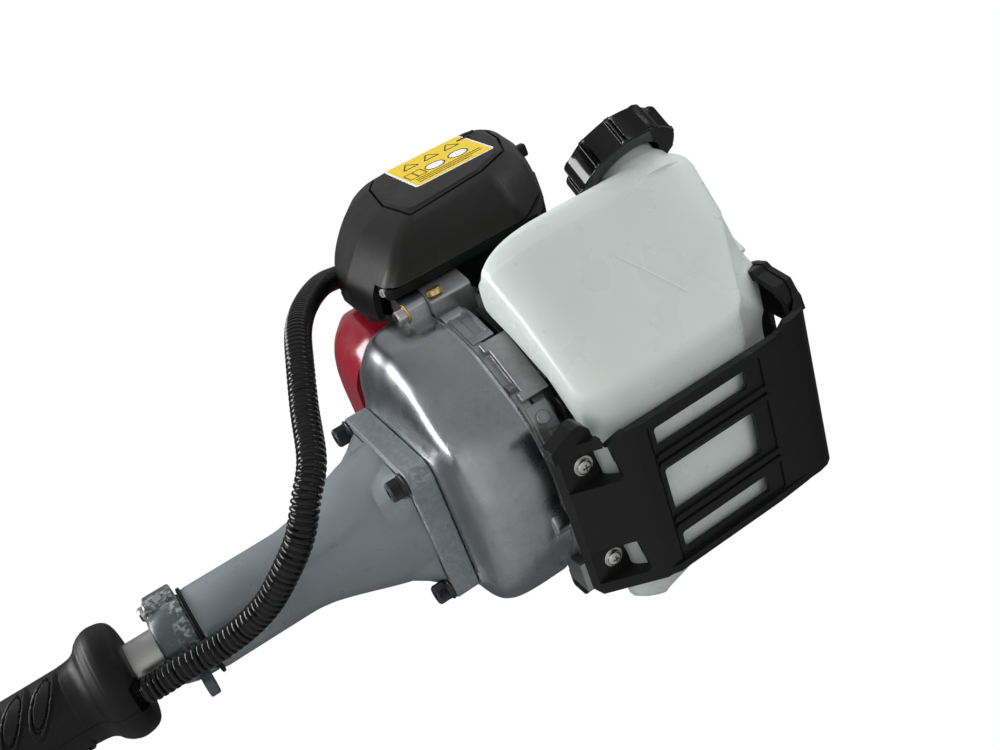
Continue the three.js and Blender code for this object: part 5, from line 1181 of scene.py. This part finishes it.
# ================================================================ gearbox and rotor, ground frame
OY, WZ = -39, 132
EL = Vector((62, -39, 132))
gb = [("+", prism("z", rrect(6, OY + 2, 40, 22, 6), WZ - 22, WZ + 20)),
      ("+", rounded_rod((38, OY, WZ), (66, OY, WZ), 21, 1.5, 64)),
      ("+", turned(EL, P, [(0, -14), (20, -14), (21, -13), (21, 58), (20.4, 62), (18, 84.6), (17, 86), (0, 86)], 72)),
      ("+", turned((0, 0, 0), (0, 0, 1), [(0, 72), (23, 72), (24, 73), (25.6, 94), (30, 97), (0, 97)], 72))]
for k in range(4):
    t = (45 + 90 * k) * D2R
    gb.append(("+", rod((40 * math.cos(t), 40 * math.sin(t), 96), (40 * math.cos(t), 40 * math.sin(t), 112), 10, n=40)))
for k in range(10):
    t = (k * 36 + 18) * D2R
    c, s_ = math.cos(t), math.sin(t)
    if abs(((k * 36 + 18 - 270 + 180) % 360) - 180) < 60:
        continue
    gb.append(("+", prism("z", [(r * c - w * s_, r * s_ + w * c) for r, w in ((40, -1.4), (48.0, -1.4), (48.0, 1.4), (40, 1.4))], 104, 144)))
gb += [("-", turned((0, 0, 0), (0, 0, 1), [(0, 118), (36, 118), (36, 146), (0, 146)], 64)),
       ("-", turned((0, 0, 0), (0, 0, 1), [(0, 60), (10.3, 60), (10.3, 158), (0, 158)], 48)),
       ("-", rod((-30, OY, WZ), (46, OY, WZ), 13, n=40)), ("-", rod((44, OY, WZ), (64, OY, WZ), 11, n=40)),
       ("-", turned(EL, P, [(0, -4), (11, -4), (11, 40), (13.3, 40), (13.3, 90), (0, 90)], 56)),
       ("-", rod((-36, OY, WZ), (-28, OY, WZ), 6.8, n=32))]
gbm = csg(turned((0, 0, 0), (0, 0, 1), [(0, 96), (43, 96), (44, 96.8), (45.6, 99), (46, 101), (46, 146), (45.4, 149), (41.6, 154.8), (40, 156), (0, 156)], 96), *gb)
piece("gearbox_casing", gbm, M_GEAR, M=MW, bevel=0.9, seg=2, limit=38, stands_for="gearbox_housing")
for k in range(4):
    t = (45 + 90 * k) * D2R
    parts, head = socket_screw((43 * math.cos(t), 43 * math.sin(t), 112), (0, 0, 1), 4.2, 4.4, 2.1, washer=5.2, washer_t=1.0)
    for nm, me_ in [("gearbox_bolt_%d" % (k + 1), head)] + [("gearbox_bolt_%d_washer" % (k + 1), p_) for p_ in parts]:
        piece(nm, me_, M_OXIDE, M=MW, bevel=0, sharp=30)
piece("worm_end_cap", turned((-34, OY, WZ), (-1, 0, 0), [(0, 0), (13, 0), (13, 2.0), (12, 3.0), (0, 3.4)], 56), M_GEAR, M=MW)
piece("grease_nipple", turned((20, OY - 19.5, WZ + 4), (0, -1, 0), [(0, 0), (4, 0), (4, 2.4), (2.4, 3), (2.4, 5), (3, 6.4), (1.6, 7.8), (0, 8)], 28), M_ZINC, M=MW)
parts, head = socket_screw(EL + P * 66 + Vector((0, -19.2, 0)), (0, -1, 0), 4.0, 4.0, 2.0, washer=5.0, washer_t=1.0)
for nm, me_ in [("socket_screw", head)] + [("socket_washer", p_) for p_ in parts]:
    piece(nm, me_, M_ZINC, M=MW, bevel=0, sharp=30)

sp = [("+", rod((20 * math.cos(t), 20 * math.sin(t), 27), (262 * math.cos(t), 262 * math.sin(t), 27), 8, n=48)) for t in [k * math.pi / 2 for k in range(4)]]
for k in range(4):
    t = k * math.pi / 2
    sp.append(("+", rod((30 * math.cos(t), 30 * math.sin(t), 27), (84 * math.cos(t), 84 * math.sin(t), 27), 13.5, 11.5, 48)))
rot = csg(turned((0, 0, 0), (0, 0, 1), [(0, 14), (33, 14), (34, 14.3), (37.6, 17.6), (38, 19), (38, 39), (36.5, 41), (27.5, 45.2), (25.6, 47), (22.4, 60), (22, 66), (0, 66)], 72),
          *sp, ("-", rod((0, 0, 52), (0, 0, 70), 10.3, n=40)))
piece("spider", rot, M_DARKCAST, body="rotor", M=MW, bevel=0.8, seg=2, limit=38, stands_for="rotor_spider")
for k in range(4):
    t = k * math.pi / 2
    Rz = Matrix.Rotation(t, 4, "Z")
    plate = prism("z", fillet([(88, -50), (290, -50), (290, 56), (88, 56)], 5), 0, 2.5)
    rib = prism("x", fillet([(-14, 2), (14, 2), (14, 8), (10, 9), (9, 18), (-9, 18), (-10, 9), (-14, 8)], 1.0), 96, 256)
    bl = csg(plate, ("+", rib), ("+", rod((96, 0, 27), (256, 0, 27), 13, n=56)), ("+", prism("z", rrect(109, -25, 9, 17, 3), 12, 20)), ("-", rod((80, 0, 27), (300, 0, 27), 8.9, n=48)))
    piece("blade_%d" % (k + 1), bl, M_BLADE, body="blade_%d" % (k + 1), M=MW @ Rz, bevel=0.45, seg=2, limit=38, stands_for="trowel_blade_%d" % (k + 1))
    for m_, x in enumerate((112, 150, 202, 240)):
        for j, yy in enumerate((-11.4, 11.4)):
            head = turned((x, yy, 8), (0, 0, 1), [(0, 0), (3.6, 0), (4.1, 0.5), (4.1, 2.6), (3.6, 3.1), (0, 3.1)], 6)
            piece("blade_%d_bolt_%d_%d" % (k + 1, m_ + 1, j + 1), head, M_ZINC, body="blade_%d" % (k + 1), M=MW @ Rz, bevel=0.2, sharp=30)

hoop_pts = [(318 * math.cos(t), 318 * math.sin(t), 62) for t in [2 * math.pi * i / 180 for i in range(180)]]
parts_g = [("+", rod((52 * math.cos(t), 52 * math.sin(t), 88), (236 * math.cos(t), 236 * math.sin(t), 88), 7, n=28)) for t in [(45 + 90 * k) * D2R for k in range(4)]]
parts_g += [("+", rod((230 * math.cos(t), 230 * math.sin(t), 88.6), (318 * math.cos(t), 318 * math.sin(t), 62), 7, n=28)) for t in [(45 + 90 * k) * D2R for k in range(4)]]
parts_g += [("+", turned((233 * math.cos(t), 233 * math.sin(t), 88), (0, 0, 1), [(0, -7.2), (3, -6.9), (6, -4), (7.2, 0), (6, 4), (3, 6.9), (0, 7.2)], 28)) for t in [(45 + 90 * k) * D2R for k in range(4)]]
gh = cut(turned((0, 0, 0), (0, 0, 1), [(0, 80), (55, 80), (56, 80.8), (56, 94.8), (55.2, 95.6), (0, 95.6)], 80), turned((0, 0, 0), (0, 0, 1), [(0, 70), (27, 70), (27, 98), (0, 98)], 64))
gring = csg(sweep(hoop_pts, 9, 28, True), *parts_g, ("-", rod((0, 0, 70), (0, 0, 110), 50, n=48)), ("+", gh))
piece("ring_guard", gring, M_RING, M=MW, bevel=0.5, seg=1, limit=38, stands_for="guard_ring")
knob = join(rod((0, 0, 156.4), (0, 0, 172), 7, n=40), prism("z", ring_pts(96, lambda t: 22 + 2 * math.cos(6 * t)), 170, 186))
piece("pitch_wheel", knob, M_BLACK, body="pitch_control", M=MW, bevel=1.6, seg=4, limit=45, stands_for="pitch_knob")

# ================================================================ CAD nodes that stay
KEEP = {
    "piston": M_STEEL, "connecting_rod": M_STEEL, "crankshaft_front": M_STEEL, "crankshaft_rear": M_STEEL, "flywheel": M_DARKCAST,
    "clutch_shoe_1": M_FRICTION, "clutch_shoe_2": M_FRICTION, "clutch_drum": M_STEEL, "drum_bearing": M_STEEL, "spark_plug": M_CERAMIC,
    "air_filter": M_FOAM, "recoil_pulley": M_BLACK, "drive_shaft": M_STEEL, "worm_shaft": M_STEEL, "worm_wheel": M_BRONZE, "output_shaft": M_STEEL,
}
for n, o in frame["nodes"].items():
    if o.hide_render:
        continue
    o.data.materials.clear()
    o.data.materials.append(KEEP.get(n, M_BLACK))
    o.modifiers.new("b", "BEVEL").width = 0.0003
    o.modifiers["b"].limit_method = "ANGLE"
    o.modifiers["b"].angle_limit = 40 * D2R

# ================================================================ stage, light, camera
scene = bpy.context.scene
fl_me = bpy.data.meshes.new("floor")
bm = bmesh.new()
bmesh.ops.create_grid(bm, x_segments=2, y_segments=2, size=9)
bm.to_mesh(fl_me)
bm.free()
floor = bpy.data.objects.new("floor", fl_me)
floor.location = (RX + 0.5, 0, -0.0012)
COL.objects.link(floor)
mf = Mat("m_floor")
mf.put("Base Color", mf.mix(mf.noise(3), (0.83, 0.83, 0.82), (0.87, 0.87, 0.86))).put("Roughness", mf.span(mf.noise(40), 0.3, 0.7, 0.6, 0.75))
glow = mf.t.nodes.new("ShaderNodeEmission")
glow.inputs[0].default_value = (0.80, 0.80, 0.79, 1)
seen = mf.t.nodes.new("ShaderNodeLightPath")
pale = mf.t.nodes.new("ShaderNodeMixShader")
mf.link(mf.calc("MULTIPLY", seen.outputs["Is Camera Ray"], 0.62), pale.inputs[0])
mf.link(mf.b.outputs[0], pale.inputs[1])
mf.link(glow.outputs[0], pale.inputs[2])
mf.link(pale.outputs[0], mf.out.inputs[0])
fl_me.materials.append(mf.m)


def area(name, at, look, size, power, colour=(1, 1, 1), size_y=None, gloss=True):
    l = bpy.data.lights.new(name, "AREA")
    l.energy = power
    l.size = size
    if size_y:
        l.shape = "RECTANGLE"
        l.size_y = size_y
    l.color = colour
    o = bpy.data.objects.new(name, l)
    o.location = at
    o.rotation_euler = (Vector(look) - Vector(at)).to_track_quat("-Z", "Y").to_euler()
    o.visible_camera = False
    o.visible_glossy = gloss
    COL.objects.link(o)
    return o


mid = eng(70, 0, 20)
Rr = np.array([[0.821, -0.489, -0.294], [-0.486, -0.328, -0.81], [0.3, 0.808, -0.508]])
uu, ss, vv = np.linalg.svd(Rr)
Rr = uu @ vv
Cc = -Rr.T @ (550 * np.array([(421 - 500) / 1079.36, (494 - 375) / 1079.36, 1]))
cam_pos = eng(*Cc)


def dirw(v):
    return (P * v[0] + U * v[1] + S * v[2]).normalized()


right, down, fwd = dirw(Rr[0]), dirw(Rr[1]), dirw(Rr[2])
upv = -down
cam = bpy.data.cameras.new("cam")
cam.sensor_width = 36
cam.lens = 1079.36 * 36 / 1000
cam.clip_start = 0.01
cam_o = bpy.data.objects.new("cam", cam)
back = -fwd
cam_o.matrix_world = Matrix(((right.x, upv.x, back.x, cam_pos.x), (right.y, upv.y, back.y, cam_pos.y), (right.z, upv.z, back.z, cam_pos.z), (0, 0, 0, 1)))
COL.objects.link(cam_o)
scene.camera = cam_o

area("key", mid + upv * 1.3 + right * 0.35 - back * 0.3, mid, 0.9, 8.2, gloss=False)
area("key_gloss", mid + upv * 1.3 + right * 0.45 - back * 0.1, mid, 0.4, 1.0)
area("left", mid - right * 1.08 + upv * 0.02 + back * 0.12, mid, 0.32, 12.0, size_y=1.0)
area("front", mid + right * 0.52 + upv * 0.26 + back * 0.80, mid, 0.16, 1.3, size_y=0.32, gloss=False)
area("overhead", (RX + 0.3, -0.6, 2.6), (RX + 0.5, 0, 0.4), 2.4, 3)

w = bpy.data.worlds.new("world")
scene.world = w
w.use_nodes = True
t = w.node_tree
t.nodes.clear()
out = t.nodes.new("ShaderNodeOutputWorld")
bgc = t.nodes.new("ShaderNodeBackground")
bgc.inputs[0].default_value = (1.0, 1.0, 1.0, 1)
bgc.inputs[1].default_value = 1.0
bgl = t.nodes.new("ShaderNodeBackground")
mixs = t.nodes.new("ShaderNodeMixShader")
lp = t.nodes.new("ShaderNodeLightPath")
tc = t.nodes.new("ShaderNodeTexCoord")
dot = t.nodes.new("ShaderNodeVectorMath")
dot.operation = "DOT_PRODUCT"
lightdir = (upv * 0.9 - fwd * 0.15 + right * 0.1).normalized()
dot.inputs[1].default_value = lightdir
t.links.new(tc.outputs["Generated"], dot.inputs[0])
rp = t.nodes.new("ShaderNodeValToRGB")
cr = rp.color_ramp
cr.interpolation = "B_SPLINE"
cr.elements[0].position = 0.0
cr.elements[0].color = (0.20, 0.20, 0.205, 1)
cr.elements[1].position = 1.0
cr.elements[1].color = (0.9, 0.9, 0.9, 1)
for pos, v in ((0.22, 0.12), (0.38, 0.07), (0.5, 0.06), (0.62, 0.14), (0.74, 0.5)):
    e = cr.elements.new(pos)
    e.color = (v, v, v * 1.02, 1)
mr = t.nodes.new("ShaderNodeMapRange")
mr.inputs[1].default_value, mr.inputs[2].default_value = -1, 1
t.links.new(dot.outputs["Value"], mr.inputs[0])
t.links.new(mr.outputs[0], rp.inputs[0])
rg = t.nodes.new("ShaderNodeValToRGB")
cg = rg.color_ramp
cg.interpolation = "B_SPLINE"
cg.elements[0].position = 0.0
cg.elements[0].color = (0.17, 0.17, 0.175, 1)
cg.elements[1].position = 1.0
cg.elements[1].color = (0.34, 0.34, 0.35, 1)
for pos, v in ((0.22, 0.10), (0.38, 0.065), (0.5, 0.06), (0.62, 0.11), (0.74, 0.26)):
    e = cg.elements.new(pos)
    e.color = (v, v, v * 1.02, 1)
t.links.new(mr.outputs[0], rg.inputs[0])
mg = t.nodes.new("ShaderNodeMix")
mg.data_type = "RGBA"
t.links.new(lp.outputs["Is Glossy Ray"], mg.inputs[0])
t.links.new(rp.outputs[0], mg.inputs[6])
t.links.new(rg.outputs[0], mg.inputs[7])
t.links.new(mg.outputs[2], bgl.inputs[0])
bgl.inputs[1].default_value = 1.0
t.links.new(lp.outputs["Is Camera Ray"], mixs.inputs[0])
t.links.new(bgl.outputs[0], mixs.inputs[1])
t.links.new(bgc.outputs[0], mixs.inputs[2])
t.links.new(mixs.outputs[0], out.inputs[0])
try:
    scene.view_settings.view_transform = "Standard"
except Exception:
    pass
scene.view_settings.look = "None"
scene.view_settings.exposure = 0.0

bpy.context.view_layer.update()
